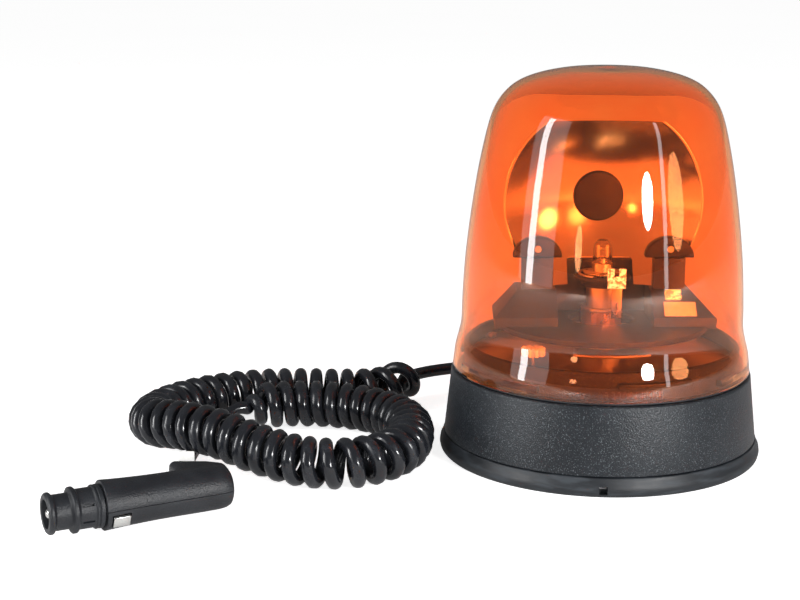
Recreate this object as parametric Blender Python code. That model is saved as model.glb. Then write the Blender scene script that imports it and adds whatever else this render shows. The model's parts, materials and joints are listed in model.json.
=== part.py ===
"""Amber rotating beacon with a magnetic foot, a curly lead and a 12 V plug.

Sizes are millimetres and become metres where a mesh is made. The origin is on the beacon's axis at the
level of its foot ring's underside, +Z up. The reflector faces -Y at rest, and the lens is turned to where
it lifts off.
"""

import math

import bmesh
import bpy
from mathutils import Matrix, Vector

MM = 0.001
GAP = 0.35

# Driving dimensions
FOOT_RADIUS = 82.5
FOOT_HEIGHT = 9.5
PLATE_RADIUS = 78.0
PLATE_Z = 3.0
PLATE_THICK = 1.2
HOUSING_BOTTOM_RADIUS = 80.2
HOUSING_TOP_RADIUS = 76.6
SHOULDER_Z = 43.5
NECK_RADIUS = 70.0
NECK_TOP_Z = 58.0
NECK_WALL = 2.7
LENS_BOTTOM_Z = 44.9
LENS_TOP_Z = 197.8
LENS_WALL = 2.4
LENS_PROFILE = (
    (76.0, LENS_BOTTOM_Z), (74.7, 55.0), (73.1, 61.0), (71.9, 67.0), (71.5, 78.0), (70.2, 100.0), (67.0, 127.0),
    (62.8, 152.0), (58.0, 172.0), (55.0, 179.0), (51.0, 184.5), (45.5, 189.2), (37.0, 193.0), (22.0, 196.3),
    (0.0, LENS_TOP_Z),
)
LUG_COUNT = 3
LUG_STEP = 2 * math.pi / LUG_COUNT
LENS_LUG_AT = math.radians(-45)
LENS_LUG_ARC = math.radians(44)
NECK_LUG_AT = math.radians(-90)
NECK_LUG_ARC = math.radians(30)
CHASSIS_Z = 50.0
CHASSIS_RADIUS = 66.8
GEAR_MODULE = 1.0
GEAR_TEETH = 116
PINION_TEETH = 10
GEAR_Z = 62.0
GEAR_THICK = 4.0
BACKLASH = 0.14
ADDENDUM = 0.7
DEDENDUM = 1.25
PRESSURE_ANGLE = math.radians(20)

# Sides of a turned shape, from the largest rings to the smallest pins
LARGE = 32
MEDIUM = 20
SMALL = 12
TINY = 8

MOTOR_ANGLE = math.radians(-127.6)
MOTOR_RADIUS = 10.0
MOTOR_BOTTOM_Z = 12.0
MOTOR_TOP_Z = 40.0
POST_RADIUS = 8.0
POST_TOP_Z = 86.0
OPTIC_Z = 128.5
OPTIC_FOCAL = 27.0
OPTIC_VERTEX_Y = 25.0
OPTIC_RIM_RADIUS = 50.0
OPTIC_HOLE_RADIUS = 13.0
OPTIC_WALL = 1.5
OPTIC_TOP_Z = 169.5
OPTIC_BOTTOM_Z = 85.5
OPTIC_NOTCH_WIDTH = 34.0
OPTIC_NOTCH_Z = 98.0
CORD_DIAMETER = 6.3
COIL_RADIUS = 12.6
PLUG_TIP = (-259.65, -135.5, 11.9)
PLUG_HEADING = math.radians(27)
PLUG_SPLIT = 0.3
HANDLE_START = 25.4
ELBOW_HALF = 9.7

GEAR_PITCH_RADIUS = GEAR_MODULE * GEAR_TEETH / 2
PINION_PITCH_RADIUS = GEAR_MODULE * PINION_TEETH / 2
MOTOR_DISTANCE = GEAR_PITCH_RADIUS + PINION_PITCH_RADIUS
MOTOR_X = MOTOR_DISTANCE * math.cos(MOTOR_ANGLE)
MOTOR_Y = MOTOR_DISTANCE * math.sin(MOTOR_ANGLE)

# Colour, roughness and metallic value of each finish
FINISHES = {
    "amber_lens": ((0.95, 0.22, 0.03, 0.35), 0.05, 0.0),
    "textured_black": ((0.025, 0.026, 0.03, 1), 0.5, 0.0),
    "black_rubber": ((0.02, 0.021, 0.023, 1), 0.7, 0.0),
    "black_moulding": ((0.02, 0.02, 0.02, 1), 0.42, 0.0),
    "cord_jacket": ((0.012, 0.012, 0.014, 1), 0.22, 0.0),
    "zinc_steel": ((0.62, 0.63, 0.65, 1), 0.35, 1.0),
    "bright_reflector": ((0.9, 0.9, 0.9, 1), 0.06, 1.0),
    "brass": ((0.8, 0.6, 0.3, 1), 0.3, 1.0),
    "ferrite": ((0.05, 0.05, 0.05, 1), 0.7, 0.0),
    "white_nylon": ((0.85, 0.84, 0.8, 1), 0.5, 0.0),
    "lamp_quartz": ((0.95, 0.95, 0.95, 0.3), 0.03, 0.0),
    "red_insulation": ((0.5, 0.02, 0.02, 1), 0.4, 0.0),
    "blank_label": ((0.8, 0.8, 0.76, 1), 0.5, 0.0),
}


def clear_scene():
    for old in list(bpy.data.objects):
        bpy.data.objects.remove(old)


def finish_material(finish):
    """The Principled material of one finish, made once."""
    made = bpy.data.materials.get(finish)
    if made:
        return made
    colour, roughness, metallic = FINISHES[finish]
    made = bpy.data.materials.new(finish)
    made.use_nodes = True
    shader = made.node_tree.nodes["Principled BSDF"]
    shader.inputs["Base Color"].default_value = colour
    shader.inputs["Alpha"].default_value = colour[3]
    shader.inputs["Roughness"].default_value = roughness
    shader.inputs["Metallic"].default_value = metallic
    return made


def axis_empty(name, place, heading=0.0):
    """An empty on a joint's axis, the parent of what turns or slides there."""
    empty = bpy.data.objects.new(name, None)
    empty.location = Vector(place) * MM
    empty.rotation_euler = (0, 0, heading)
    bpy.context.scene.collection.objects.link(empty)
    return empty


def piece(name, bm, finish, parent=None, at=(0, 0, 0), turned_by=(0, 0, 0)):
    """A named object from a bmesh in millimetres, smooth where its faces meet gently."""
    bmesh.ops.scale(bm, vec=(MM, MM, MM), verts=bm.verts)
    mesh = bpy.data.meshes.new(name)
    bm.to_mesh(mesh)
    bm.free()
    mesh.shade_smooth()
    mesh.set_sharp_from_angle(angle=math.radians(35))
    mesh.materials.append(finish_material(finish))
    made = bpy.data.objects.new(name, mesh)
    made.location = Vector(at) * MM
    made.rotation_euler = turned_by
    made.parent = parent
    bpy.context.scene.collection.objects.link(made)
    return made


def combine(target, operation, bm, at=(0, 0, 0), turned_by=(0, 0, 0)):
    """Joins or cuts the target with a helper shape in the target's own frame."""
    label = f"{target.name}_{operation.lower()}_{len(target.modifiers)}"
    helper = piece(label, bm, "textured_black", target.parent, at, turned_by)
    helper.hide_render = True
    helper.display_type = "WIRE"
    step = target.modifiers.new(label, "BOOLEAN")
    step.operation = operation
    step.solver = "EXACT"
    step.object = helper


def cut(target, bm, at=(0, 0, 0), turned_by=(0, 0, 0)):
    combine(target, "DIFFERENCE", bm, at, turned_by)


def join(target, bm, at=(0, 0, 0), turned_by=(0, 0, 0)):
    combine(target, "UNION", bm, at, turned_by)


def turned(outline, steps=SMALL, start=0.0, sweep=2 * math.pi):
    """A closed (radius, height) outline spun about Z, all round or over one arc."""
    bm = bmesh.new()
    corners = [bm.verts.new((r * math.cos(start), r * math.sin(start), z)) for r, z in outline]
    whole = abs(sweep - 2 * math.pi) < 1e-6
    if whole:
        geometry = [bm.edges.new(pair) for pair in zip(corners, corners[1:] + corners[:1])]
        on_axis = [edge for edge in geometry if max(abs(v.co.x) + abs(v.co.y) for v in edge.verts) < 1e-6]
        geometry = [edge for edge in geometry if edge not in on_axis]
        bmesh.ops.delete(bm, geom=on_axis, context="EDGES_FACES")
    else:
        geometry = [bm.faces.new(corners)]
    bmesh.ops.spin(bm, geom=geometry, cent=(0, 0, 0), axis=(0, 0, 1), angle=sweep, steps=steps, use_merge=whole)
    bmesh.ops.remove_doubles(bm, verts=bm.verts, dist=1e-4)
    bmesh.ops.recalc_face_normals(bm, faces=bm.faces)
    return bm


def rod(radius, low, high, steps=SMALL):
    return turned(((0, low), (radius, low), (radius, high), (0, high)), steps)


def tube(inner, outer, low, high, steps=MEDIUM):
    return turned(((inner, low), (outer, low), (outer, high), (inner, high)), steps)


def prism(outline, low, high):
    """A flat outline in X and Y, extruded up from one height to another."""
    bm = bmesh.new()
    face = bm.faces.new([bm.verts.new((x, y, low)) for x, y in outline])
    raised = bmesh.ops.extrude_face_region(bm, geom=[face])["geom"]
    corners = [item for item in raised if isinstance(item, bmesh.types.BMVert)]
    bmesh.ops.translate(bm, vec=(0, 0, high - low), verts=corners)
    bmesh.ops.recalc_face_normals(bm, faces=bm.faces)
    return bm


def block(low, high, bevel=0.0):
    """A box between two corners, with its edges bevelled if asked."""
    bm = bmesh.new()
    size = Vector(high) - Vector(low)
    middle = (Vector(high) + Vector(low)) / 2
    bmesh.ops.create_cube(bm, size=1, matrix=Matrix.Translation(middle) @ Matrix.Diagonal((*size, 1)))
    if bevel:
        bmesh.ops.bevel(bm, geom=bm.edges, offset=bevel, segments=2, profile=0.5, affect="EDGES")
    return bm


def moved(bm, matrix):
    bmesh.ops.transform(bm, matrix=matrix, verts=bm.verts)
    return bm


def smooth_route(points, spacing):
    """Points at an even spacing along a centripetal curve through the route's own points."""
    route = [Vector(p) for p in points]
    ends = [2 * route[0] - route[1], *route, 2 * route[-1] - route[-2]]
    fine = []
    for a, b, c, d in zip(ends, ends[1:], ends[2:], ends[3:]):
        knots = [0.0]
        for first, second in ((a, b), (b, c), (c, d)):
            knots.append(knots[-1] + math.sqrt((second - first).length))
        for step in range(16):
            t = knots[1] + (knots[2] - knots[1]) * step / 16
            first = [
                p + (q - p) * ((t - knots[i]) / (knots[i + 1] - knots[i]))
                for i, (p, q) in enumerate(((a, b), (b, c), (c, d)))
            ]
            second = [
                p + (q - p) * ((t - knots[i]) / (knots[i + 2] - knots[i]))
                for i, (p, q) in enumerate(zip(first, first[1:]))
            ]
            fine.append(second[0] + (second[1] - second[0]) * ((t - knots[1]) / (knots[2] - knots[1])))
    fine.append(route[-1])
    lengths = [0.0]
    for first, second in zip(fine, fine[1:]):
        lengths.append(lengths[-1] + (second - first).length)
    count = max(2, round(lengths[-1] / spacing))
    even = []
    at = 0
    for number in range(count + 1):
        goal = lengths[-1] * number / count
        while at < len(fine) - 2 and lengths[at + 1] < goal:
            at += 1
        share = (goal - lengths[at]) / (lengths[at + 1] - lengths[at])
        even.append(fine[at].lerp(fine[at + 1], min(1.0, share)))
    return even


def curve_tube(name, points, radius, finish, radii=None, resolution=3, parent=None):
    """A round tube along points, as a curve with a bevel and filled caps."""
    curve = bpy.data.curves.new(name, "CURVE")
    curve.dimensions = "3D"
    curve.bevel_depth = radius * MM
    curve.bevel_resolution = resolution
    curve.use_fill_caps = True
    spline = curve.splines.new("POLY")
    spline.points.add(len(points) - 1)
    for index, (place, point) in enumerate(zip(points, spline.points)):
        point.co = (*(Vector(place) * MM), 1)
        point.radius = radii[index] if radii else 1.0
    curve.materials.append(finish_material(finish))
    made = bpy.data.objects.new(name, curve)
    made.parent = parent
    bpy.context.scene.collection.objects.link(made)
    return made


def involute(angle):
    return math.tan(angle) - angle


def gear_outline(teeth, flank_points, phase):
    """The outline of an involute gear, one tooth centred on the phase angle."""
    pitch = GEAR_MODULE * teeth / 2
    base = pitch * math.cos(PRESSURE_ANGLE)
    root = pitch - DEDENDUM * GEAR_MODULE
    tip = pitch + ADDENDUM * GEAR_MODULE
    half_tooth = math.pi / (2 * teeth) - BACKLASH / (2 * pitch) + involute(PRESSURE_ANGLE)
    start = max(base, root)
    flank = [(root, start)] if base > root else []
    flank += [(start + (tip - start) * i / (flank_points - 1),) * 2 for i in range(flank_points)]
    half = [(r, half_tooth - involute(math.acos(min(1.0, base / at)))) for r, at in flank]
    outline = []
    for tooth in range(teeth):
        middle = phase + 2 * math.pi * tooth / teeth
        for radius, spread in half:
            outline.append((radius * math.cos(middle - spread), radius * math.sin(middle - spread)))
        for radius, spread in reversed(half):
            outline.append((radius * math.cos(middle + spread), radius * math.sin(middle + spread)))
    return outline


def ring_place(radius, angle, z=0.0):
    return (radius * math.cos(angle), radius * math.sin(angle), z)


SCREW_ANGLES = [math.radians(a) for a in (-60, 60, 180)]
CHASSIS_SCREW_ANGLES = [math.radians(a) for a in (-90, 30, 150)]
BOSS_AT = 70.5
CHASSIS_SCREW_AT = 63.5


def foot():
    """The rubber ring that grips the bottom plate's edge and carries the beacon."""
    inner = 75.5
    groove = PLATE_RADIUS + GAP
    outline = (
        (inner, 0.0), (81.0, 0.0), (82.1, 1.2), (FOOT_RADIUS, 3.2), (82.2, 5.2), (80.9, 7.6),
        (80.6, FOOT_HEIGHT), (inner, FOOT_HEIGHT), (inner, PLATE_Z + PLATE_THICK + GAP),
        (groove, PLATE_Z + PLATE_THICK + GAP), (groove, PLATE_Z - GAP), (inner, PLATE_Z - GAP),
    )
    ring = piece("foot_ring", turned(outline, LARGE), "black_rubber")
    notch = block((-9.0, -84.0, 1.6), (-5.0, -77.5, 5.6))
    cut(ring, notch)


def bottom():
    """The pressed bottom plate, dished over the pot magnet, with its screws."""
    dish_outer, dish_inner, dish_z = 47.4, 46.2, 13.3
    top = PLATE_Z + PLATE_THICK
    outline = (
        (3.6, dish_z), (dish_inner, dish_z), (dish_inner, PLATE_Z), (PLATE_RADIUS, PLATE_Z),
        (PLATE_RADIUS, top), (dish_outer, top), (dish_outer, dish_z + PLATE_THICK), (3.6, dish_z + PLATE_THICK),
    )
    plate = piece("bottom_plate", turned(outline, LARGE), "zinc_steel")
    for number, angle in enumerate(SCREW_ANGLES, 1):
        cut(plate, rod(1.9, PLATE_Z - 2, top + 2, TINY), ring_place(BOSS_AT, angle))
        screw = turned(((0, 0.9), (3.0, 0.9), (3.0, PLATE_Z - GAP), (1.5, PLATE_Z - GAP), (1.5, 14), (0, 14)), TINY)
        piece(f"bottom_screw_{number}", screw, "zinc_steel", at=ring_place(BOSS_AT, angle))
    cup = ((3.5, 11), (42, 11), (42, 0.4), (45, 0.4), (45, 13), (3.5, 13))
    piece("magnet_cup", turned(cup, MEDIUM), "zinc_steel")
    piece("ring_magnet", tube(8, 41.6, 0.8, 10.6, MEDIUM), "ferrite")
    bolt = turned(((0, 7.2), (5.5, 7.2), (5.5, 10.6), (3, 10.6), (3, 21), (0, 21)), 12)
    piece("magnet_bolt", bolt, "zinc_steel")
    piece("magnet_nut", tube(3.9, 6.4, 14.9, 19.6, 6), "zinc_steel")


def housing():
    """The textured base housing with its neck, three bayonet lugs, screw bosses and cable hole."""
    bottom_z = FOOT_HEIGHT + GAP
    wall = 3.0
    outline = (
        (HOUSING_BOTTOM_RADIUS - wall, bottom_z), (HOUSING_BOTTOM_RADIUS, bottom_z), (78.4, 26.0),
        (HOUSING_TOP_RADIUS, SHOULDER_Z - 0.8), (HOUSING_TOP_RADIUS - 0.8, SHOULDER_Z),
        (NECK_RADIUS, SHOULDER_Z), (NECK_RADIUS, NECK_TOP_Z), (NECK_RADIUS - NECK_WALL, NECK_TOP_Z),
        (NECK_RADIUS - NECK_WALL, CHASSIS_Z - GAP), (60.0, CHASSIS_Z - GAP), (60.0, CHASSIS_Z - 3.2),
        (NECK_RADIUS - NECK_WALL, CHASSIS_Z - 3.2), (NECK_RADIUS - NECK_WALL, SHOULDER_Z - 3),
        (HOUSING_TOP_RADIUS - wall, SHOULDER_Z - 3),
    )
    shell = piece("base_housing", turned(outline, LARGE), "textured_black")
    sideways = Matrix.Translation((0, 0, 20)) @ Matrix.Rotation(-math.pi / 2, 4, "X")
    cut(shell, moved(rod(6.6, 64, 92, SMALL), sideways))
    for turn in range(LUG_COUNT):
        start = NECK_LUG_AT + turn * LUG_STEP
        lug = ((NECK_RADIUS - 1, 50.5), (72.0, 50.5), (72.0, 53.0), (NECK_RADIUS - 1, 53.6))
        join(shell, turned(lug, 6, start, NECK_LUG_ARC))
    for angle in SCREW_ANGLES:
        join(shell, rod(3.8, PLATE_Z + PLATE_THICK + GAP, SHOULDER_Z - 1, SMALL), ring_place(BOSS_AT, angle))
        cut(shell, rod(1.9, 0, 16, TINY), ring_place(BOSS_AT, angle))
    for angle in CHASSIS_SCREW_ANGLES:
        cut(shell, rod(1.6, CHASSIS_Z - 6, CHASSIS_Z + 2, TINY), ring_place(CHASSIS_SCREW_AT, angle))
    cut(shell, rod(4.2, CHASSIS_Z - 6, CHASSIS_Z + 1, SMALL), (MOTOR_X, MOTOR_Y, 0))


def chassis():
    """The steel chassis plate, its screws and the hollow post that carries rotor and lamp."""
    plate = piece("chassis_plate", tube(5.6, CHASSIS_RADIUS, CHASSIS_Z, CHASSIS_Z + PLATE_THICK, LARGE), "zinc_steel")
    cut(plate, rod(3.2, CHASSIS_Z - 2, CHASSIS_Z + 4, SMALL), (MOTOR_X, MOTOR_Y, 0))
    top = CHASSIS_Z + PLATE_THICK
    for number, angle in enumerate(CHASSIS_SCREW_ANGLES, 1):
        place = ring_place(CHASSIS_SCREW_AT, angle)
        cut(plate, rod(1.7, CHASSIS_Z - 2, CHASSIS_Z + 4, TINY), place)
        low, seat, crown = CHASSIS_Z - 5, top + GAP, top + 2.6
        screw = turned(((0, low), (1.2, low), (1.2, seat), (2.8, seat), (2.4, crown), (0, crown)), TINY)
        piece(f"chassis_screw_{number}", screw, "zinc_steel", at=place)
    seat = top + GAP
    bore = 5.0
    outline = (
        (bore, seat), (14.0, seat), (14.0, seat + 2.4), (10.5, seat + 2.4), (10.5, 59.8), (POST_RADIUS, 59.8),
        (POST_RADIUS, 74.0), (7.1, 74.0), (7.1, 75.4), (POST_RADIUS, 75.4), (POST_RADIUS, POST_TOP_Z),
        (bore, POST_TOP_Z),
    )
    piece("lamp_post", turned(outline, MEDIUM), "zinc_steel")
    piece("rotor_circlip", turned(((7.5, 74.2), (10.8, 74.2), (10.8, 75.2), (7.5, 75.2)), SMALL, 0.3, 5.6), "zinc_steel")


def lamp():
    """The halogen lamp on its holder, with a wire clip, metal base, quartz glass and filament."""
    seat = POST_TOP_Z + GAP
    holder = turned(
        ((5.0, seat), (10.5, seat), (10.5, 90.0), (14.6, 90.0), (14.6, 91.4), (8.2, 91.4), (8.2, 88.5), (5.0, 88.5)), MEDIUM
    )
    piece("lamp_holder", holder, "black_moulding")
    clip = turned(((11.0, 91.75), (12.4, 91.75), (12.4, 92.9), (11.0, 92.9)), SMALL, math.radians(-60), math.radians(300))
    piece("lamp_clip", clip, "zinc_steel")
    base = turned(
        ((0, 84.0), (3.0, 84.0), (3.0, 88.85), (7.6, 88.85), (7.6, 92.4), (9.6, 92.4), (9.6, 93.4), (5.2, 93.4),
         (5.2, 98.0), (0, 98.0)), SMALL
    )
    lamp_base = piece("lamp_base", base, "zinc_steel")
    join(lamp_base, block((-1.0, -2.4, 97.0), (1.0, 2.4, 100.2)))
    glass = (
        (2.9, 98.4), (5.0, 98.4), (5.0, 105.5), (4.2, 108.2), (2.4, 109.8), (0, 110.2), (0, 109.2), (2.0, 108.9),
        (3.4, 107.6), (4.0, 105.5), (4.0, 99.4), (2.9, 99.4),
    )
    piece("lamp_glass", turned(glass, SMALL), "lamp_quartz")
    legs = [(-1.8, 0, 100.6), (-1.8, 0, 104.0), (-1.0, 0, 106.2), (0, 0, 106.6), (1.0, 0, 106.2), (1.8, 0, 104.0)]
    curve_tube("lamp_filament", [*legs, (1.8, 0, 100.6)], 0.35, "zinc_steel", resolution=2)


def drive():
    """The motor that hangs beside the magnet, its bracket and bush, and the pinion on its shaft."""
    here = (MOTOR_X, MOTOR_Y, 0)
    can = turned(
        ((1.3, 16), (1.3, MOTOR_TOP_Z), (MOTOR_RADIUS, MOTOR_TOP_Z), (MOTOR_RADIUS, MOTOR_BOTTOM_Z),
         (0, MOTOR_BOTTOM_Z), (0, 16)), MEDIUM
    )
    piece("motor_can", can, "zinc_steel", at=here)
    piece("motor_bush", tube(1.35, 2.8, MOTOR_TOP_Z + GAP, 52.4, SMALL), "brass", at=here)
    clamp = turned(((MOTOR_RADIUS + GAP, 30), (11.6, 30), (11.6, 38), (MOTOR_RADIUS + GAP, 38)), TINY,
                   MOTOR_ANGLE + math.radians(75), math.radians(210))
    bracket = piece("motor_bracket", clamp, "zinc_steel", at=here)
    inward = Matrix.Rotation(MOTOR_ANGLE + math.pi, 4, "Z")
    strap = block((10.8, -5, 31), (12.2, 5, CHASSIS_Z - GAP))
    flange = block((4.5, -5, CHASSIS_Z - GAP - 1.4), (12.2, 5, CHASSIS_Z - GAP))
    join(bracket, moved(strap, inward), at=here)
    join(bracket, moved(flange, inward), at=here)
    spindle = axis_empty("motor_axis", (MOTOR_X, MOTOR_Y, 0))
    piece("motor_shaft", rod(0.95, 18, GEAR_Z + GEAR_THICK + 0.6, TINY), "zinc_steel", spindle)
    phase = MOTOR_ANGLE + math.pi + math.pi / PINION_TEETH
    outline = gear_outline(PINION_TEETH, 3, phase)
    pinion = piece("drive_pinion", prism(outline, GEAR_Z, GEAR_Z + GEAR_THICK), "white_nylon", spindle)
    cut(pinion, rod(1.35, GEAR_Z - 2, GEAR_Z + GEAR_THICK + 2, TINY))


def wiring():
    """Terminal block, suppressor, cable clamp and the loose leads inside the housing."""
    block_low, block_high = (15, 46, 4.6), (33, 56, 16.5)
    terminals = piece("terminal_block", block(block_low, block_high, 0.8), "white_nylon")
    for x in (19.5, 28.5):
        cut(terminals, rod(2.0, 13.5, 20, TINY), (x, 51, 0))
    piece("cable_clamp", block((-8, 60, 4.6), (8, 67, 15.8), 0.8), "black_moulding")
    lay = Matrix.Translation((-8, 56, 19.5)) @ Matrix.Rotation(math.pi / 2, 4, "Y")
    piece("suppressor_choke", moved(rod(3.2, -7, 7, SMALL), lay), "ferrite")
    red = smooth_route(((2.2, 70, 20), (4, 64, 21), (10, 58, 22), (16, 54, 21), (19.5, 51, 17)), 5)
    black = smooth_route(((-2.2, 70, 20), (-4, 65, 22), (6, 58, 26), (20, 55, 26), (27, 53, 22), (28.5, 51, 17)), 5)
    up = smooth_route(((30, 40, 10), (30, 36, 22), (24, 30, 34), (6, 14, 42), (0, 3, 50), (0, 0, 58), (0, 0, 82)), 6)
    curve_tube("supply_lead_red", red, 1.0, "red_insulation", resolution=2)
    curve_tube("supply_lead_black", black, 1.0, "cord_jacket", resolution=2)
    curve_tube("lamp_lead", up, 1.0, "red_insulation", resolution=2)


def rotor():
    """The rotor gear on its bush, with the carrier, clip, label and balance weight."""
    axle = axis_empty("rotor_axis", (0, 0, GEAR_Z))
    drop = (0, 0, -GEAR_Z)
    outline = gear_outline(GEAR_TEETH, 2, MOTOR_ANGLE)
    gear = piece("rotor_gear", prism(outline, GEAR_Z, GEAR_Z + GEAR_THICK), "white_nylon", axle, drop)
    join(gear, rod(15.5, 60.6, 73.4, MEDIUM), drop)
    cut(gear, rod(10.9, 50, 90, MEDIUM), drop)
    piece("rotor_bush", tube(POST_RADIUS + GAP, 10.5, 60.3, 73.6, MEDIUM), "brass", axle, drop)

    floor_z = GEAR_Z + GEAR_THICK + GAP
    carrier = piece("rotor_carrier", tube(17.0, 54.0, floor_z, 69.0, LARGE), "black_moulding", axle, drop)
    upright = Matrix.Rotation(math.pi / 2, 4, "X")
    slope = Matrix.Translation((0, -14.5, 79.0)) @ Matrix.Rotation(math.radians(45), 4, "X")
    for side in (-1, 1):
        profile = ((24, 68), (55.3, 68), (55.6, 73), (44, 85.2), (24, 85.2))
        shoulder = prism([(side * x, z) for x, z in profile], -12, 20)
        join(carrier, moved(shoulder, upright), drop)
    cut(carrier, moved(block((-60, -14, 0), (60, 14, 20)), slope), drop)
    for side in (-1, 1):
        stem = block((side * 33.5 - 8, -5.2, 80), (side * 33.5 + 8, 1.0, 101))
        join(carrier, stem, drop)
    join(carrier, block((-30, 17.6, 67), (30, 23, 96)), drop)
    cut(carrier, rod(19.0, 85.8, 100, MEDIUM), drop)

    label = moved(block((29.5, -7.0, GAP), (45.5, 1.4, 0.75)), slope)
    piece("carrier_label", label, "blank_label", axle, drop)
    clip = moved(block((30.5, 2.4, GAP), (38.5, 7.4, 3.4), 0.6), slope)
    piece("carrier_clip", clip, "brass", axle, drop)
    weight = turned(((36, 60.6), (50, 60.6), (50, GEAR_Z - GAP), (36, GEAR_Z - GAP)), TINY,
                    math.radians(-112), math.radians(44))
    piece("balance_weight", weight, "zinc_steel", axle, drop)
    for side, name in ((-1, "left"), (1, "right")):
        cap = [(side * 33.5 + 12.5 * math.cos(t), 101.35 + 10.5 * math.sin(t))
               for t in (math.pi * i / TINY for i in range(TINY + 1))]
        head = moved(prism(cap, -1.0, 5.2), Matrix.Rotation(math.pi / 2, 4, "X"))
        piece(f"reflector_clamp_{name}", head, "black_moulding", axle, drop)
        screw = moved(rod(1.8, 5.55, 7.0, TINY), Matrix.Rotation(math.pi / 2, 4, "X"))
        high = (side * 33.5, 0, 106 - GEAR_Z)
        piece(f"clamp_screw_{name}", screw, "zinc_steel", axle, high)
    return axle


def reflector(axle):
    """The parabolic reflector, trimmed at top and bottom and notched over the lamp."""
    count = 6
    front, back = [], []
    for step in range(count + 1):
        r = OPTIC_HOLE_RADIUS + (OPTIC_RIM_RADIUS - OPTIC_HOLE_RADIUS) * step / count
        y = OPTIC_VERTEX_Y - r * r / (4 * OPTIC_FOCAL)
        lean = math.atan(r / (2 * OPTIC_FOCAL))
        front.append((r, y))
        back.append((r + OPTIC_WALL * math.sin(lean) if step else r, y + OPTIC_WALL * math.cos(lean)))
    back[-1] = (back[-1][0], front[-1][1])
    to_y = Matrix.Rotation(-math.pi / 2, 4, "X")
    raise_optic = Matrix.Translation((0, 0, OPTIC_Z))
    bowl = moved(turned(back + front[::-1], LARGE), raise_optic @ to_y)
    drop = (0, 0, -GEAR_Z)
    shell = piece("reflector", bowl, "bright_reflector", axle, drop)
    cut(shell, block((-80, -20, OPTIC_TOP_Z), (80, 60, 260)), drop)
    cut(shell, block((-80, -20, 40), (80, 60, OPTIC_BOTTOM_Z)), drop)
    half = OPTIC_NOTCH_WIDTH / 2
    cut(shell, block((-half, -20, 40), (half, 60, OPTIC_NOTCH_Z)), drop)
    boss = turned(((0, 22.0), (OPTIC_HOLE_RADIUS - GAP, 22.0), (OPTIC_HOLE_RADIUS - GAP, 26.8), (16, 26.8),
                   (16, 29.0), (0, 29.0)), MEDIUM)
    piece("reflector_boss", moved(boss, raise_optic @ to_y), "black_moulding", axle, drop)


def lens():
    """The amber lens with its bayonet lugs and ratchet ribs, on its seal."""
    axle = axis_empty("lens_axis", (0, 0, SHOULDER_Z))
    drop = (0, 0, -SHOULDER_Z)
    seal = tube(70.7, 75.2, SHOULDER_Z + 0.3, SHOULDER_Z + 1.05, LARGE)
    piece("lens_seal", seal, "black_rubber", axle, drop)
    inner = []
    for index, (r, z) in enumerate(LENS_PROFILE):
        before = LENS_PROFILE[max(index - 1, 0)]
        after = LENS_PROFILE[min(index + 1, len(LENS_PROFILE) - 1)]
        normal = Vector((after[1] - before[1], before[0] - after[0])).normalized() * LENS_WALL
        inner.append((r - normal.x, z - normal.y))
    inner[0] = (inner[0][0], LENS_BOTTOM_Z)
    inner[-1] = (0, LENS_TOP_Z - LENS_WALL)
    dome = piece("lens", turned(list(LENS_PROFILE) + inner[::-1], LARGE), "amber_lens", axle, drop)
    for turn in range(LUG_COUNT):
        start = LENS_LUG_AT + turn * LUG_STEP
        lug = ((70.5, 46.7), (74.4, 46.7), (74.4, 49.8), (70.5, 49.4))
        join(dome, turned(lug, 6, start, LENS_LUG_ARC), drop)


STRAIN_EXIT_Y = 100.0
LEAD_ROUTE = (
    (0, 100.4, 20), (0, 108, 19.8), (-4, 118, 18.5), (-14, 126, 16.5), (-28, 127, 14.5), (-42, 120, 14),
    (-55, 110, 14.5), (-66, 103, 15), (-76, 99, 15), (-86, 95.5, 14.5), (-95.1, 89.4, 14.1),
)
COIL_ROUTE = (
    (-96, 88, 14), (-103, 76, 13.4), (-111, 66, 12.9), (-124, 60, 12.9), (-143, 60, 12.9), (-165, 61, 12.9),
    (-188, 57, 12.9), (-209, 46, 12.9), (-226, 28, 12.9), (-233, 6, 13.5), (-227, -15, 17.0), (-211, -31, 20.4),
    (-192, -45, 20.4), (-172, -57, 16.5), (-150, -66.5, 13.5), (-130, -68, 12.9), (-113, -59, 12.9),
    (-102, -43, 12.9), (-98.5, -24, 12.9), (-99.5, -5, 12.9), (-107, 11, 12.9), (-121, 24, 12.9),
    (-139, 32, 12.9), (-157, 34.5, 12.9), (-174, 32, 12.9), (-188.6, 26.4, 12.9),
)
TAIL_ROUTE = (
    (-190.3, 25.8, 12.9), (-196.5, 20.5, 9.5), (-202, 10, 5.0), (-206.5, -2, 3.5), (-208.5, -14, 3.5),
    (-209.5, -28, 3.5), (-209.5, -42, 3.6), (-208.5, -54, 4.8), (-207, -64, 7.2), (-205.3, -73, 10.0),
    (-204.2, -80.5, 11.6), (-203.95, -87.1, 11.9),
)


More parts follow.
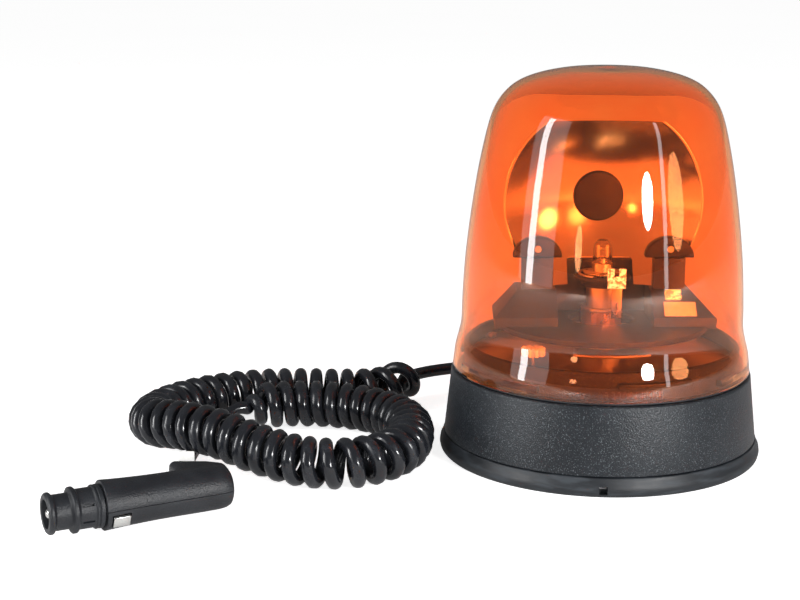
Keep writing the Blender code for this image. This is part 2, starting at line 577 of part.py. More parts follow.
def cord():
    """Strain relief, lead, curly cord as its outer envelope, tail and the blank tag on it."""
    profile = (
        (0, 71.0), (8.0, 71.0), (8.0, 74.4), (6.2, 74.4), (6.2, 80.0), (8.4, 80.0), (8.4, 82.4), (6.4, 84.0),
        (4.2, STRAIN_EXIT_Y), (0, STRAIN_EXIT_Y),
    )
    sideways = Matrix.Translation((0, 0, 20)) @ Matrix.Rotation(-math.pi / 2, 4, "X")
    piece("strain_relief", moved(turned(profile, SMALL), sideways), "black_rubber")
    spacing = 2.4 * CORD_DIAMETER
    radius = CORD_DIAMETER / 2
    curve_tube("cord_lead", smooth_route(LEAD_ROUTE, spacing * 0.55), radius, "cord_jacket", resolution=2)
    curve_tube("cord_coil", smooth_route(COIL_ROUTE, 14.0), COIL_RADIUS, "cord_jacket", resolution=3)
    curve_tube("cord_tail", smooth_route(TAIL_ROUTE, spacing * 0.55), radius, "cord_jacket", resolution=2)
    piece("cord_tag", block((-211.5, -58.5, 9.4), (-203.5, -57.7, 15.8)), "blank_label")


def plug():
    """The two-part plug: nose with its sprung centre pin, split handle with side contacts, and elbow."""
    frame = axis_empty("plug_axis", PLUG_TIP, PLUG_HEADING)
    to_x = Matrix.Rotation(math.pi / 2, 4, "Y")
    nose_outline = (
        (6.5, 0), (8.6, 0), (9.5, 1.0), (9.5, 2.4), (8.15, 3.4), (8.15, 10.2), (10.5, 11.2), (10.5, 13.0), (9.15, 14.0),
        (9.15, 21.0), (10.0, 21.4), (10.0, 22.2), (9.4, 22.6), (10.0, 23.0), (10.0, 25.0), (5.6, 25.0), (5.6, 10.4),
        (2.95, 10.4), (2.95, 8.2), (6.5, 8.2),
    )
    nose = piece("plug_nose", moved(turned(nose_outline, 20), to_x), "textured_black", frame)
    for angle in (math.radians(-65), math.radians(-115), math.radians(65), math.radians(115)):
        slot = moved(block((14.8, -0.6, 7.6), (20.2, 0.6, 12)), Matrix.Rotation(angle, 4, "X"))
        cut(nose, slot)

    handle = (
        (0, HANDLE_START), (11.55, HANDLE_START), (11.0, 34.0), (10.5, 48.0), (10.4, 60.0), (10.4, 80.0), (9.8, 84.5),
        (8.0, 86.4), (0, 86.4),
    )
    core = (
        (0, HANDLE_START - 2), (8.9, HANDLE_START - 2), (8.4, 34.0), (8.0, 48.0), (7.9, 60.0), (7.9, 80.0), (6.4, 83.6),
        (0, 83.6),
    )
    elbow = ((63.1, 2.0), (80.0, -6.0), (85.3, -4.7), (87.8, 1.3), (85.5, 8.9), (79.6, 13.9), (63.1, 20.6))
    elbow_core = ((65.5, 2.0), (79.0, -3.0), (84.0, -1.0), (85.0, 3.0), (83.0, 8.0), (78.2, 11.6), (65.5, 16.8))
    window_turn = math.radians(27)
    screw_x, screw_y = 76.0, 3.0
    for half, sign in (("lower", -1), ("upper", 1)):
        shell = piece(f"plug_shell_{half}", moved(turned(handle, MEDIUM), to_x), "textured_black", frame)
        join(shell, prism(elbow, -ELBOW_HALF, ELBOW_HALF))
        cut(shell, moved(turned(core, SMALL), to_x))
        cut(shell, prism(elbow_core, 2.5 - ELBOW_HALF, ELBOW_HALF - 2.5))
        if sign > 0:
            cut(shell, block((0, -40, -40), (120, 80, PLUG_SPLIT / 2)))
        else:
            cut(shell, block((0, -40, -PLUG_SPLIT / 2), (120, 80, 40)))
        facing = Matrix.Rotation(window_turn if sign < 0 else window_turn + math.pi, 4, "X")
        cut(shell, moved(block((27.4, -14, -3.4), (36.2, -7, 3.4)), facing))
    lower = bpy.data.objects["plug_shell_lower"]
    join(lower, rod(4.0, -9.6, -PLUG_SPLIT / 2 - GAP, TINY), (screw_x, screw_y, 0))
    cut(lower, rod(2.9, -14, -7.6, TINY), (screw_x, screw_y, 0))
    cut(lower, rod(1.6, -9, 6, TINY), (screw_x, screw_y, 0))
    upper = bpy.data.objects["plug_shell_upper"]
    join(upper, rod(3.6, PLUG_SPLIT / 2 + GAP, 9.6, TINY), (screw_x, screw_y, 0))
    cut(upper, rod(1.6, -4, 7, TINY), (screw_x, screw_y, 0))
    screw = turned(((0, -9.6), (2.5, -9.6), (2.5, -8.0 + GAP), (1.2, -8.0 + GAP), (1.2, 6), (0, 6)), TINY)
    piece("plug_screw", screw, "zinc_steel", frame, (screw_x, screw_y, 0))

    for name, turn in (("near", window_turn), ("far", window_turn + math.pi)):
        contact = moved(block((27.9, -12.1, -3.0), (35.7, -10.0, 3.0), 0.5), Matrix.Rotation(turn, 4, "X"))
        piece(f"plug_contact_{name}", contact, "zinc_steel", frame)
    pin = ((0, 1.6), (1.3, 1.9), (2.3, 2.9), (2.5, 4.2), (2.5, 10.9), (4.8, 10.9), (4.8, 12.4), (0, 12.4))
    piece("plug_pin", moved(turned(pin, SMALL), to_x), "zinc_steel", frame)
    piece("plug_fuse", moved(rod(3.2, 12.8, 38.8, TINY), to_x), "lamp_quartz", frame)
    spring = []
    turns, per_turn = 4, 6
    for step in range(turns * per_turn + 1):
        angle = 2 * math.pi * step / per_turn
        spring.append((42.0 + 11.0 * step / (turns * per_turn), 2.8 * math.cos(angle), 2.8 * math.sin(angle)))
    curve_tube("plug_pin_spring", spring, 0.4, "zinc_steel", resolution=2, parent=frame)


def main():
    clear_scene()
    foot()
    bottom()
    housing()
    chassis()
    lamp()
    drive()
    wiring()
    reflector(rotor())
    lens()
    cord()
    plug()


main()
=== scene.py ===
"""Amber rotating beacon with a magnetic foot, a curly lead and a 12 V plug, dressed over its CAD frame.

Lengths are millimetres in the tables and become metres where a mesh is made.
"""

import json
import math

import bpy
from mathutils import Matrix, Vector


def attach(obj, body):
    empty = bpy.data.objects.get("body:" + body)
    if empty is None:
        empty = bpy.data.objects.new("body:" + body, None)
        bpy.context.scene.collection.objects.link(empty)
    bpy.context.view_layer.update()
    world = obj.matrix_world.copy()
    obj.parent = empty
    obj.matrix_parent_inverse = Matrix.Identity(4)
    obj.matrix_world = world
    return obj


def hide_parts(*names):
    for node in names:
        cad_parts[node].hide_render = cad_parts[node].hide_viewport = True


MM = 0.001
ROUND = 2 * math.pi
ALL_ROUND = 144
FINE_ROUND = 64
SMALL_ROUND = 32

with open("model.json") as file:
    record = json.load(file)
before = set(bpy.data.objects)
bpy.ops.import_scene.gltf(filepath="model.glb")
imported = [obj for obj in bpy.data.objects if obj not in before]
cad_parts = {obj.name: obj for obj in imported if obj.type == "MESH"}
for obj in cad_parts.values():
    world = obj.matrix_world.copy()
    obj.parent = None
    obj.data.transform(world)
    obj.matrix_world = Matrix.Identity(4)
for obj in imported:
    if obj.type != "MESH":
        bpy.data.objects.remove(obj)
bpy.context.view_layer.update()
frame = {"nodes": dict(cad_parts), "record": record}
nodes = frame["nodes"]


# ---------------------------------------------------------------- modelling helpers


def deselect():
    bpy.ops.object.select_all(action="DESELECT")


def active_piece(name):
    piece = bpy.context.object
    piece.name = name
    piece.data.name = name
    return piece


def choose(piece):
    """Makes one piece the only selected and the active one."""
    deselect()
    piece.select_set(True)
    bpy.context.view_layer.objects.active = piece


def settle(piece):
    """Puts the piece's place and turn into its mesh."""
    choose(piece)
    bpy.ops.object.transform_apply(location=True, rotation=True, scale=True)


def moved(piece, matrix):
    """Carries the piece's mesh by a matrix whose shift is in millimetres."""
    matrix = matrix.copy()
    matrix.translation *= MM
    piece.matrix_world = matrix
    settle(piece)
    return piece


def copied(piece, name):
    """A copy with its own mesh."""
    choose(piece)
    bpy.ops.object.duplicate(linked=False)
    return active_piece(name)


def joined(pieces, name):
    """Several pieces as one mesh."""
    deselect()
    for piece in pieces:
        piece.select_set(True)
    bpy.context.view_layer.objects.active = pieces[0]
    bpy.ops.object.join()
    return active_piece(name)


def applied(piece, kind, **settings):
    """Adds a modifier, sets it and applies it."""
    choose(piece)
    step = piece.modifiers.new(kind.lower(), kind)
    for key, value in settings.items():
        setattr(step, key, value)
    bpy.ops.object.modifier_apply(modifier=step.name)
    return piece


def combined(piece, tool, operation):
    """Cuts or adds a tool shape and takes the tool away."""
    applied(piece, "BOOLEAN", operation=operation, solver="EXACT", object=tool)
    bpy.data.objects.remove(tool)
    return piece


def cut(piece, tool):
    return combined(piece, tool, "DIFFERENCE")


def added(piece, tool):
    return combined(piece, tool, "UNION")


def softened(piece, width, segments=3, angle=35):
    """Rounds the edges that are sharper than the angle."""
    return applied(
        piece, "BEVEL", width=width * MM, segments=segments, limit_method="ANGLE",
        angle_limit=math.radians(angle), use_clamp_overlap=True,
    )


def eased(outline, size, steps=3):
    """The outline with its sharp corners rounded off over the given length."""
    points = [Vector(point) for point in outline]
    ring = (points[0] - points[-1]).length < 1e-6
    if ring:
        points = points[:-1]
    rounded = []
    for index, here in enumerate(points):
        if not ring and index in (0, len(points) - 1):
            rounded.append(here)
            continue
        before = points[index - 1] - here
        after = points[(index + 1) % len(points)] - here
        turn = math.pi - before.angle(after)
        if turn < math.radians(20):
            rounded.append(here)
            continue
        reach = min(size, before.length * 0.45, after.length * 0.45)
        start = here + before.normalized() * reach
        end = here + after.normalized() * reach
        for step in range(steps + 1):
            t = step / steps
            rounded.append(start * (1 - t) ** 2 + here * 2 * t * (1 - t) + end * t * t)
    if ring:
        rounded.append(rounded[0])
    return [tuple(point) for point in rounded]


def closed(outline):
    """The outline with its first point again at its end."""
    return [*outline, outline[0]]


def turned(name, outline, sides=ALL_ROUND, about="Z", start=0.0, sweep=ROUND):
    """Spins an outline of (radius, height) about one axis, all round or over an arc."""
    deselect()
    bpy.ops.mesh.primitive_plane_add(size=MM, enter_editmode=True, location=(0, 0, 0))
    bpy.ops.mesh.select_mode(type="VERT")
    bpy.ops.mesh.select_all(action="SELECT")
    bpy.ops.mesh.merge(type="CENTER")
    chain = [Vector((radius * MM, 0, height * MM)) for radius, height in outline]
    bpy.ops.transform.translate(value=chain[0])
    for here, there in zip(chain, chain[1:]):
        bpy.ops.mesh.extrude_vertices_move(TRANSFORM_OT_translate={"value": there - here})
    bpy.ops.mesh.select_all(action="SELECT")
    bpy.ops.mesh.remove_doubles(threshold=1e-6)
    if sweep < ROUND:
        bpy.ops.mesh.edge_face_add()
    bpy.ops.mesh.spin(steps=sides, angle=sweep, center=(0, 0, 0), axis=(0, 0, 1))
    bpy.ops.mesh.select_all(action="SELECT")
    bpy.ops.mesh.remove_doubles(threshold=2e-6)
    bpy.ops.mesh.normals_make_consistent(inside=False)
    bpy.ops.object.mode_set(mode="OBJECT")
    piece = active_piece(name)
    if sweep < ROUND:
        # The spin may run either way round, so the arc is turned until it starts where it should.
        side = sum(vertex.co.y for vertex in piece.data.vertices)
        begin = start if side > 0 else start + sweep
        moved(piece, Matrix.Rotation(begin, 4, "Z"))
    if about == "Y":
        moved(piece, Matrix.Rotation(-math.pi / 2, 4, "X"))
    if about == "X":
        moved(piece, Matrix.Rotation(math.pi / 2, 4, "Y"))
    return piece


def rod(name, radius, low, high, sides=SMALL_ROUND, ease=0.0):
    """A round bar that stands between two heights."""
    outline = [(0, low), (radius, low), (radius, high), (0, high)]
    return turned(name, eased(outline, ease) if ease else outline, sides)


def block(name, low, high, ease=0.0, segments=3):
    """A box between two corners with rounded edges."""
    deselect()
    low, high = Vector(low) * MM, Vector(high) * MM
    bpy.ops.mesh.primitive_cube_add(size=1, location=(low + high) / 2, scale=high - low)
    piece = active_piece(name)
    settle(piece)
    if ease:
        softened(piece, ease, segments)
    return piece


def slab(name, outline, low, high, ease=0.0):
    """A flat outline in X and Y, raised from one height to another."""
    deselect()
    bpy.ops.mesh.primitive_circle_add(vertices=len(outline), radius=MM, fill_type="NGON", location=(0, 0, 0))
    piece = active_piece(name)
    for vertex, (x, y) in zip(piece.data.vertices, outline):
        vertex.co = (x * MM, y * MM, low * MM)
    choose(piece)
    bpy.ops.object.mode_set(mode="EDIT")
    bpy.ops.mesh.select_all(action="SELECT")
    bpy.ops.mesh.extrude_region_move(TRANSFORM_OT_translate={"value": (0, 0, (high - low) * MM)})
    bpy.ops.mesh.select_all(action="SELECT")
    bpy.ops.mesh.normals_make_consistent(inside=False)
    bpy.ops.object.mode_set(mode="OBJECT")
    if ease:
        softened(piece, ease)
    return piece


def sliced(piece, point, normal):
    """Cuts away what lies on the normal's side of a plane and closes the cut."""
    choose(piece)
    bpy.ops.object.mode_set(mode="EDIT")
    bpy.ops.mesh.select_all(action="SELECT")
    bpy.ops.mesh.bisect(plane_co=Vector(point) * MM, plane_no=normal, use_fill=True, clear_outer=True)
    bpy.ops.object.mode_set(mode="OBJECT")
    return piece


def ring_place(radius, angle, z=0.0):
    return Vector((radius * math.cos(angle), radius * math.sin(angle), z))


def shift(place):
    return Matrix.Translation(place)


def spin_z(angle):
    return Matrix.Rotation(angle, 4, "Z")


def crossed(screw, low, high, place, turn=0.0):
    """Cuts a cross into a screw's head with a bar between two corners, laid both ways."""
    for quarter in (0, math.pi / 2):
        bar = moved(block("screw_cross", low, high), shift(place) @ spin_z(quarter + turn))
        cut(screw, bar)
    return screw


def finish(piece, body, slot, *stands_for, material=None, angle=35):
    """Gives a piece a material (its slot's, if none is named) and a body, and hides the CAD nodes it stands
    for.
    """
    choose(piece)
    piece.data.materials.clear()
    piece.data.materials.append(material or finishes[slot])
    bpy.ops.object.shade_smooth_by_angle(angle=math.radians(angle))
    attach(piece, body)
    if stands_for:
        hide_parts(*stands_for)


# ---------------------------------------------------------------- camera and cord first


CAMERA_PLACE = (-0.1034, -0.8017, 0.2574)
CAMERA_DEGREES_DOWN = 12.6


def make_camera():
    """The camera that everything is seen from."""
    deselect()
    pitch = math.radians(90 - CAMERA_DEGREES_DOWN)
    bpy.ops.object.camera_add(location=CAMERA_PLACE, rotation=(pitch, 0, 0))
    camera = bpy.context.object
    camera.data.lens = 72
    camera.data.sensor_width = 36
    camera.data.clip_end = 60
    bpy.context.scene.camera = camera


CORD_DIAMETER = 6.8
# The coil: the radius of the wire's middle, the length of a turn and the least gap between two turns.
COIL_WIRE_RADIUS = 9.2
COIL_PITCH = 8.7
COIL_GAP = 0.35
# Over these lengths the coil opens at each end, and its first turns are drawn apart.
COIL_OPENING = 15.0
COIL_LOOSE_START = 34
SHARPEST_AXIS_BEND = 0.06
# The axis has a point at each step. Its direction is read over a few steps on either side.
CURVE_STEPS = 16
AXIS_STEP = 0.5
AXIS_REACH = 6
PLAIN_STEPS = 5
# The lead from the housing, the middle of the coil, and the tail to the plug, listed point by point.
LEAD_ROUTE = (
    (0, 100.4, 20), (0, 108, 19.8), (-4, 118, 18.5), (-14, 126, 16.5), (-28, 127, 14.5), (-42, 120, 14),
    (-55, 110, 14.5), (-66, 103, 15), (-76, 99, 15), (-86, 95.5, 14.5), (-95.1, 89.4, 14.1),
)
COIL_ROUTE = (
    (-96, 88, 14), (-103, 76, 13.4), (-111, 66, 12.9), (-124, 60, 12.9), (-143, 60, 12.9), (-165, 61, 12.9),
    (-188, 57, 12.9), (-209, 46, 12.9), (-226, 28, 12.9), (-233, 6, 13.5), (-227, -15, 17.0),
    (-211, -31, 20.4), (-192, -45, 20.4), (-172, -57, 16.5), (-150, -66.5, 13.5), (-130, -68, 12.9),
    (-113, -59, 12.9), (-102, -43, 12.9), (-98.5, -24, 12.9), (-99.5, -5, 12.9), (-107, 11, 12.9),
    (-121, 24, 12.9), (-139, 32, 12.9), (-157, 34.5, 12.9), (-174, 32, 12.9), (-188.6, 26.4, 12.9),
)
TAIL_ROUTE = (
    (-190.3, 25.8, 12.9), (-196.5, 20.5, 9.5), (-202, 10, 5.0), (-206.5, -2, 3.5), (-208.5, -14, 3.5),
    (-209.5, -28, 3.5), (-209.5, -42, 3.6), (-208.5, -54, 4.8), (-207, -64, 7.2), (-205.3, -73, 10.0),
    (-204.2, -80.5, 11.6), (-203.95, -87.1, 11.9),
)


def smooth_route(points, spacing):
    """Points at an even spacing along a centripetal curve through the route's own points."""
    route = [Vector(point) for point in points]
    ends = [2 * route[0] - route[1], *route, 2 * route[-1] - route[-2]]
    fine = []
    for a, b, c, d in zip(ends, ends[1:], ends[2:], ends[3:]):
        knots = [0.0]
        for first, second in ((a, b), (b, c), (c, d)):
            knots.append(knots[-1] + math.sqrt((second - first).length))
        for step in range(CURVE_STEPS):
            t = knots[1] + (knots[2] - knots[1]) * step / CURVE_STEPS
            first = [
                p + (q - p) * ((t - knots[i]) / (knots[i + 1] - knots[i]))
                for i, (p, q) in enumerate(((a, b), (b, c), (c, d)))
            ]
            second = [
                p + (q - p) * ((t - knots[i]) / (knots[i + 2] - knots[i]))
                for i, (p, q) in enumerate(zip(first, first[1:]))
            ]
            fine.append(second[0] + (second[1] - second[0]) * ((t - knots[1]) / (knots[2] - knots[1])))
    fine.append(route[-1])
    lengths = [0.0]
    for first, second in zip(fine, fine[1:]):
        lengths.append(lengths[-1] + (second - first).length)
    count = max(2, round(lengths[-1] / spacing))
    even = []
    at = 0
    for number in range(count + 1):
        goal = lengths[-1] * number / count
        while at < len(fine) - 2 and lengths[at + 1] < goal:
            at += 1
        share = (goal - lengths[at]) / (lengths[at + 1] - lengths[at])
        even.append(fine[at].lerp(fine[at + 1], min(1.0, share)))
    return even


def curly_wire():
    """The wire's own line: a plain lead, a helix that opens and closes, and a plain tail."""
    axis = smooth_route([*LEAD_ROUTE, *COIL_ROUTE, *TAIL_ROUTE], AXIS_STEP)
    begin, end = (
        min(range(len(axis)), key=lambda index: (axis[index] - Vector(place)).length)
        for place in (COIL_ROUTE[0], COIL_ROUTE[-1])
    )
    across = Vector((0, 0, 1))
    wire = []
    phase = 0.0
    for index, middle in enumerate(axis):
        if not begin < index < end:
            if index % PLAIN_STEPS == 0 or index == len(axis) - 1:
                wire.append(middle)
            continue
        before = axis[index - AXIS_REACH]
        after = axis[index + AXIS_REACH]
        along = (after - before).normalized()
        across = (across - along * across.dot(along)).normalized()
        beside = along.cross(across)
        bend = min(SHARPEST_AXIS_BEND, (middle - before).angle(after - middle) / (AXIS_REACH * AXIS_STEP))
        gone = AXIS_STEP * (index - begin)
        left = AXIS_STEP * (end - index)
        # On the inside of a bend the turns come closer, so the pitch grows until they stay apart.
        pitch = max(COIL_PITCH, (CORD_DIAMETER + COIL_GAP) / (1 - COIL_WIRE_RADIUS * bend))
        pitch *= 1 + max(0.0, 1 - gone / COIL_LOOSE_START)
        ease_in = min(1.0, gone / COIL_OPENING, left / COIL_OPENING)
        radius = COIL_WIRE_RADIUS * (3 * ease_in ** 2 - 2 * ease_in ** 3)
        wire.append(middle + (across * math.cos(phase) + beside * math.sin(phase)) * radius)
        phase += ROUND * AXIS_STEP / pitch
    return wire


def round_wire(name, points, radius, resolution):
    """A curve along points, with a round section."""
    curve = bpy.data.curves.new(name, "CURVE")
    curve.dimensions = "3D"
    curve.bevel_depth = radius * MM
    curve.bevel_resolution = resolution
    curve.use_fill_caps = True
    spline = curve.splines.new("POLY")
    spline.points.add(len(points) - 1)
    for place, point in zip(points, spline.points):
        point.co = (*(Vector(place) * MM), 1)
    wire = bpy.data.objects.new(name, curve)
    bpy.context.scene.collection.objects.link(wire)
    return wire


def make_cord():
    """The whole cord as one curve."""
    points = curly_wire()
    cord = round_wire("curly_cord", points, CORD_DIAMETER / 2, 6)
    cord.data.splines[0].use_smooth = True
    length = sum((there - here).length for here, there in zip(points, points[1:])) * MM
    print("cord length", round(length, 3))
    return cord


# ---------------------------------------------------------------- materials


class Value:
    """A shader value: arithmetic on it adds the Math nodes."""

    def __init__(self, look, socket):
        self.look = look
        self.socket = socket

    def made(self, operation, first, second):
        return self.look.node("Math", {"operation": operation}, {0: first, 1: second})

    def __add__(self, other):
        return self.made("ADD", self, other)

    def __radd__(self, other):
        return self.made("ADD", other, self)

    def __sub__(self, other):
        return self.made("SUBTRACT", self, other)

    def __rsub__(self, other):
        return self.made("SUBTRACT", other, self)

    def __mul__(self, other):
        return self.made("MULTIPLY", self, other)

    def __rmul__(self, other):
        return self.made("MULTIPLY", other, self)


class Finish:
    """One material under construction."""

    def __init__(self, name):
        self.material = bpy.data.materials.new(name)
        self.material.use_nodes = True
        self.tree = self.material.node_tree
        self.tree.nodes.clear()
        self.place = self.node("TexCoord", {}, {}, "Object")

    def node(self, kind, settings, values, out=0):
        """Adds a node: its settings first, then the values or links of its sockets."""
        made = self.tree.nodes.new("ShaderNode" + kind)
        for key, value in settings.items():
            setattr(made, key, value)
        for key, value in values.items():
            if isinstance(value, Value):
                self.tree.links.new(value.socket, made.inputs[key])
            else:
                made.inputs[key].default_value = value
        return Value(self, made.outputs[out]) if len(made.outputs) else None

    def grain(self, size, detail=2.0, roughness=0.5):
        """Noise from 0 to 1 whose lumps are about size millimetres across."""
        values = {"Vector": self.place, "Scale": 1 / (size * MM), "Detail": detail, "Roughness": roughness}
        return self.node("TexNoise", {}, values, "Fac")

    def cells(self, size):
        """Distance from the middle of rounded cells of about size millimetres."""
        values = {"Vector": self.place, "Scale": 1 / (size * MM), "Smoothness": 0.35}
        return self.node("TexVoronoi", {"feature": "SMOOTH_F1"}, values, "Distance")

    def stretched(self, size, scale, detail):
        """Noise drawn out along the axes by the scale's three factors."""
        drawn = self.node("Mapping", {}, {"Vector": self.place, "Scale": scale}, "Vector")
        values = {"Vector": drawn, "Scale": 1 / (size * MM), "Detail": detail}
        return self.node("TexNoise", {}, values, "Fac")

    def band(self, value, low, high, to_low=0.0, to_high=1.0):
        """Carries a value from one range to another, held at its ends."""
        values = {0: value, 1: low, 2: high, 3: to_low, 4: to_high}
        return self.node("MapRange", {"interpolation_type": "SMOOTHSTEP"}, values)

    def mixed(self, share, first, second):
        """One colour over another."""
        return self.node("Mix", {"data_type": "RGBA"}, {0: share, 6: first, 7: second}, 2)

    def bump(self, height, depth, strength):
        """Relief of a depth in millimetres."""
        values = {"Height": height, "Distance": depth * MM, "Strength": strength}
        return self.node("Bump", {}, values, "Normal")

    def patched(self, value, low, high, dark, light):
        """Two colours, the second where the value is high."""
        return self.mixed(self.band(value, low, high), dark, light)

    def shader(self, **sockets):
        """The Principled shader, with its sockets named with underscores for spaces."""
        values = {key.replace("_", " "): value for key, value in sockets.items()}
        return self.node("BsdfPrincipled", {}, values)

    def done(self, shader):
        self.node("OutputMaterial", {}, {"Surface": shader})
        return self.material

    def painted(self, **sockets):
        """The material with nothing but the Principled shader on it."""
        return self.done(self.shader(**sockets))

    def clear(self, lamp_colour, **sockets):
        """A clear material that lets lamp light through in the given colour."""
        glass = self.shader(Transmission_Weight=1.0, **sockets)
        open_to_lamps = self.node("BsdfTransparent", {}, {"Color": lamp_colour})
        lamp_ray = self.node("LightPath", {}, {}, "Is Shadow Ray")
        return self.done(self.node("MixShader", {}, {0: lamp_ray, 1: glass, 2: open_to_lamps}))


def textured_plastic():
    """Spark-eroded black plastic of the housing, its grain nearly a millimetre across, with painted sparkle
    highlights on the tops of the grain.
    """
    look = Finish("textured_black_plastic")
    lumps = look.grain(0.6, 2.0, 0.6)
    cells = look.cells(0.75)
    height = lumps * 0.65 + (1 - cells) * 0.5
    wear = look.grain(38, 3.0)
    colour = look.patched(wear, 0.35, 0.7, (0.007, 0.009, 0.012, 1), (0.012, 0.015, 0.019, 1))
    # Painted sparkle highlights: the tops of the grain lumps are coloured much lighter.
    colour = look.mixed(look.band(lumps, 0.58, 0.70, 0.0, 0.8), colour, (0.13, 0.145, 0.16, 1))
    rough = 0.30 + look.band(wear, 0.3, 0.7, 0.0, 0.07) + lumps * 0.08
    normal = look.bump(height, 0.26, 0.9)
    return look.painted(Base_Color=colour, Roughness=rough, Normal=normal, Specular_IOR_Level=0.4)


def plug_plastic():
    """Satin black plastic of the plug with a fine leather grain."""
    look = Finish("plug_black_plastic")
    lumps = look.grain(0.75, 2.0, 0.5)
    wear = look.grain(14, 3.0)
    colour = look.patched(wear, 0.35, 0.7, (0.010, 0.011, 0.014, 1), (0.018, 0.020, 0.024, 1))
    rough = 0.36 + look.band(wear, 0.3, 0.7, 0.0, 0.08) + lumps * 0.06
    normal = look.bump(lumps, 0.3, 0.8)
    return look.painted(Base_Color=colour, Roughness=rough, Normal=normal)


def moulded_plastic():
    """Plain black moulding inside the lens, with faint flow marks."""
    look = Finish("plain_black_moulding")
    flow = look.stretched(9, (1, 1, 0.25), 3.0)
    fine = look.grain(0.5)
    colour = look.patched(flow, 0.3, 0.7, (0.006, 0.006, 0.007, 1), (0.015, 0.014, 0.014, 1))
    rough = 0.34 + flow * 0.14
    normal = look.bump(fine, 0.03, 0.35)
    return look.painted(Base_Color=colour, Roughness=rough, Normal=normal)


def gear_plastic():
    """Smoke-grey moulded nylon of the rotor disc, a little dusty."""
    look = Finish("smoke_grey_nylon")
    dust = look.grain(7, 4.0, 0.6)
    fine = look.grain(0.6)
    colour = look.patched(dust, 0.35, 0.75, (0.16, 0.155, 0.15, 1), (0.24, 0.235, 0.225, 1))
    rough = 0.38 + look.band(dust, 0.3, 0.7, 0.0, 0.18)
    normal = look.bump(fine, 0.02, 0.3)
    return look.painted(Base_Color=colour, Roughness=rough, Normal=normal)


def nylon():
    """Natural nylon, slightly yellow and waxy."""
    look = Finish("natural_nylon")
    shade = look.grain(5, 3.0)
    colour = look.patched(shade, 0.3, 0.7, (0.74, 0.72, 0.66, 1), (0.83, 0.82, 0.77, 1))
    rough = 0.36 + shade * 0.14
    normal = look.bump(look.grain(0.7), 0.02, 0.3)
    return look.painted(Base_Color=colour, Roughness=rough, Normal=normal, Subsurface_Weight=0.12)


def foot_rubber():
    """Dark rubber with faint lighter bluish streaks drawn round the ring: a painted sheen."""
    look = Finish("foot_rubber")
    sheen_streaks = look.stretched(16, (1, 1, 5), 4.0)
    fine = look.grain(0.55, 3.0, 0.6)
    # Painted sheen: lighter bluish streaks round the ring.
    colour = look.patched(sheen_streaks, 0.42, 0.72, (0.009, 0.011, 0.014, 1), (0.030, 0.036, 0.043, 1))
    rough = 0.42 + look.band(sheen_streaks, 0.3, 0.7, 0.0, 0.16)
    normal = look.bump(fine, 0.04, 0.4)
    return look.painted(Base_Color=colour, Roughness=rough, Normal=normal)


def cord_jacket():
    """Glossy black jacket with finger marks and a slight orange-peel."""
    look = Finish("glossy_cord_jacket")
    marks = look.grain(11, 4.0, 0.6)
    peel = look.grain(2.2, 1.0)
    colour = look.patched(marks, 0.4, 0.75, (0.010, 0.011, 0.014, 1), (0.020, 0.022, 0.027, 1))
    rough = 0.15 + look.band(marks, 0.4, 0.7, 0.0, 0.14)
    normal = look.bump(peel, 0.05, 0.35)
    return look.painted(Base_Color=colour, Roughness=rough, Normal=normal, IOR=1.52)


def amber():
    """Clear amber lens: moulded polycarbonate that lets lamp light through, with fine dust on it."""
    look = Finish("clear_amber_lens")
    cast = look.grain(30, 2.0)
    dust = look.grain(1.1, 2.0, 0.7)
    specks = look.band(dust, 0.74, 0.80)
    colour = look.patched(cast, 0.3, 0.7, (0.985, 0.335, 0.115, 1), (0.985, 0.375, 0.135, 1))
    rough = 0.012 + specks * 0.25
    ripple = look.bump(cast, 0.12, 0.3)
    return look.clear(
        (0.99, 0.62, 0.37, 1), Base_Color=colour, Roughness=rough, Normal=ripple, IOR=1.49,
        Specular_IOR_Level=0.5,
    )


def quartz():
    """Clear lamp glass."""
    look = Finish("clear_lamp_glass")
    haze = look.grain(3, 2.0)
    rough = 0.01 + haze * 0.03
    return look.clear((0.95, 0.95, 0.95, 1), Base_Color=(0.97, 0.97, 0.96, 1), Roughness=rough, IOR=1.46)


def metal(name, dark, light, low, high):
    """A plated or drawn metal: fine drawn lines, and a patchy shine."""
    look = Finish(name)
    lines = look.stretched(2.5, (1, 1, 6), 4.0)
    patches = look.grain(12, 3.0)
    colour = look.patched(patches, 0.3, 0.7, dark, light)
    rough = low + look.band(patches, 0.3, 0.7, 0.0, high - low) + lines * 0.06
    normal = look.bump(lines, 0.015, 0.25)
    return look.painted(Base_Color=colour, Roughness=rough, Metallic=1.0, Normal=normal)


def painted_glint(name, dark, light, strength):
    """Polished metal that glows in its own colour: a painted glint in the middle of the reflector."""
    look = Finish(name)
    shade = look.grain(1.5, 2.0)
    colour = look.patched(shade, 0.35, 0.65, dark, light)
    return look.painted(
        Base_Color=colour, Roughness=0.2 + shade * 0.1, Metallic=1.0, Emission_Color=colour,
        Emission_Strength=strength,
    )


def mirror():
    """Vacuum-metallised reflector, very slightly wavy, with a few dull spots."""
    look = Finish("metallised_reflector")
    wave = look.grain(26, 1.0)
    spots = look.band(look.grain(2.4, 3.0, 0.6), 0.62, 0.74)
    colour = look.mixed(spots, (0.93, 0.93, 0.92, 1), (0.80, 0.80, 0.79, 1))
    rough = 0.15 + spots * 0.1
    normal = look.bump(wave, 0.1, 0.15)
    return look.painted(Base_Color=colour, Roughness=rough, Metallic=1.0, Normal=normal)


def plain(name, dark, light, low, high, size=4.0, grain=0.5, depth=0.03):
    """A dull material: two shades in soft patches over a fine grain."""
    look = Finish(name)
    patches = look.grain(size, 3.0)
    colour = look.patched(patches, 0.3, 0.7, dark, light)
    rough = low + patches * (high - low)
    normal = look.bump(look.grain(grain, 3.0), depth, 0.4)
    return look.painted(Base_Color=colour, Roughness=rough, Normal=normal)


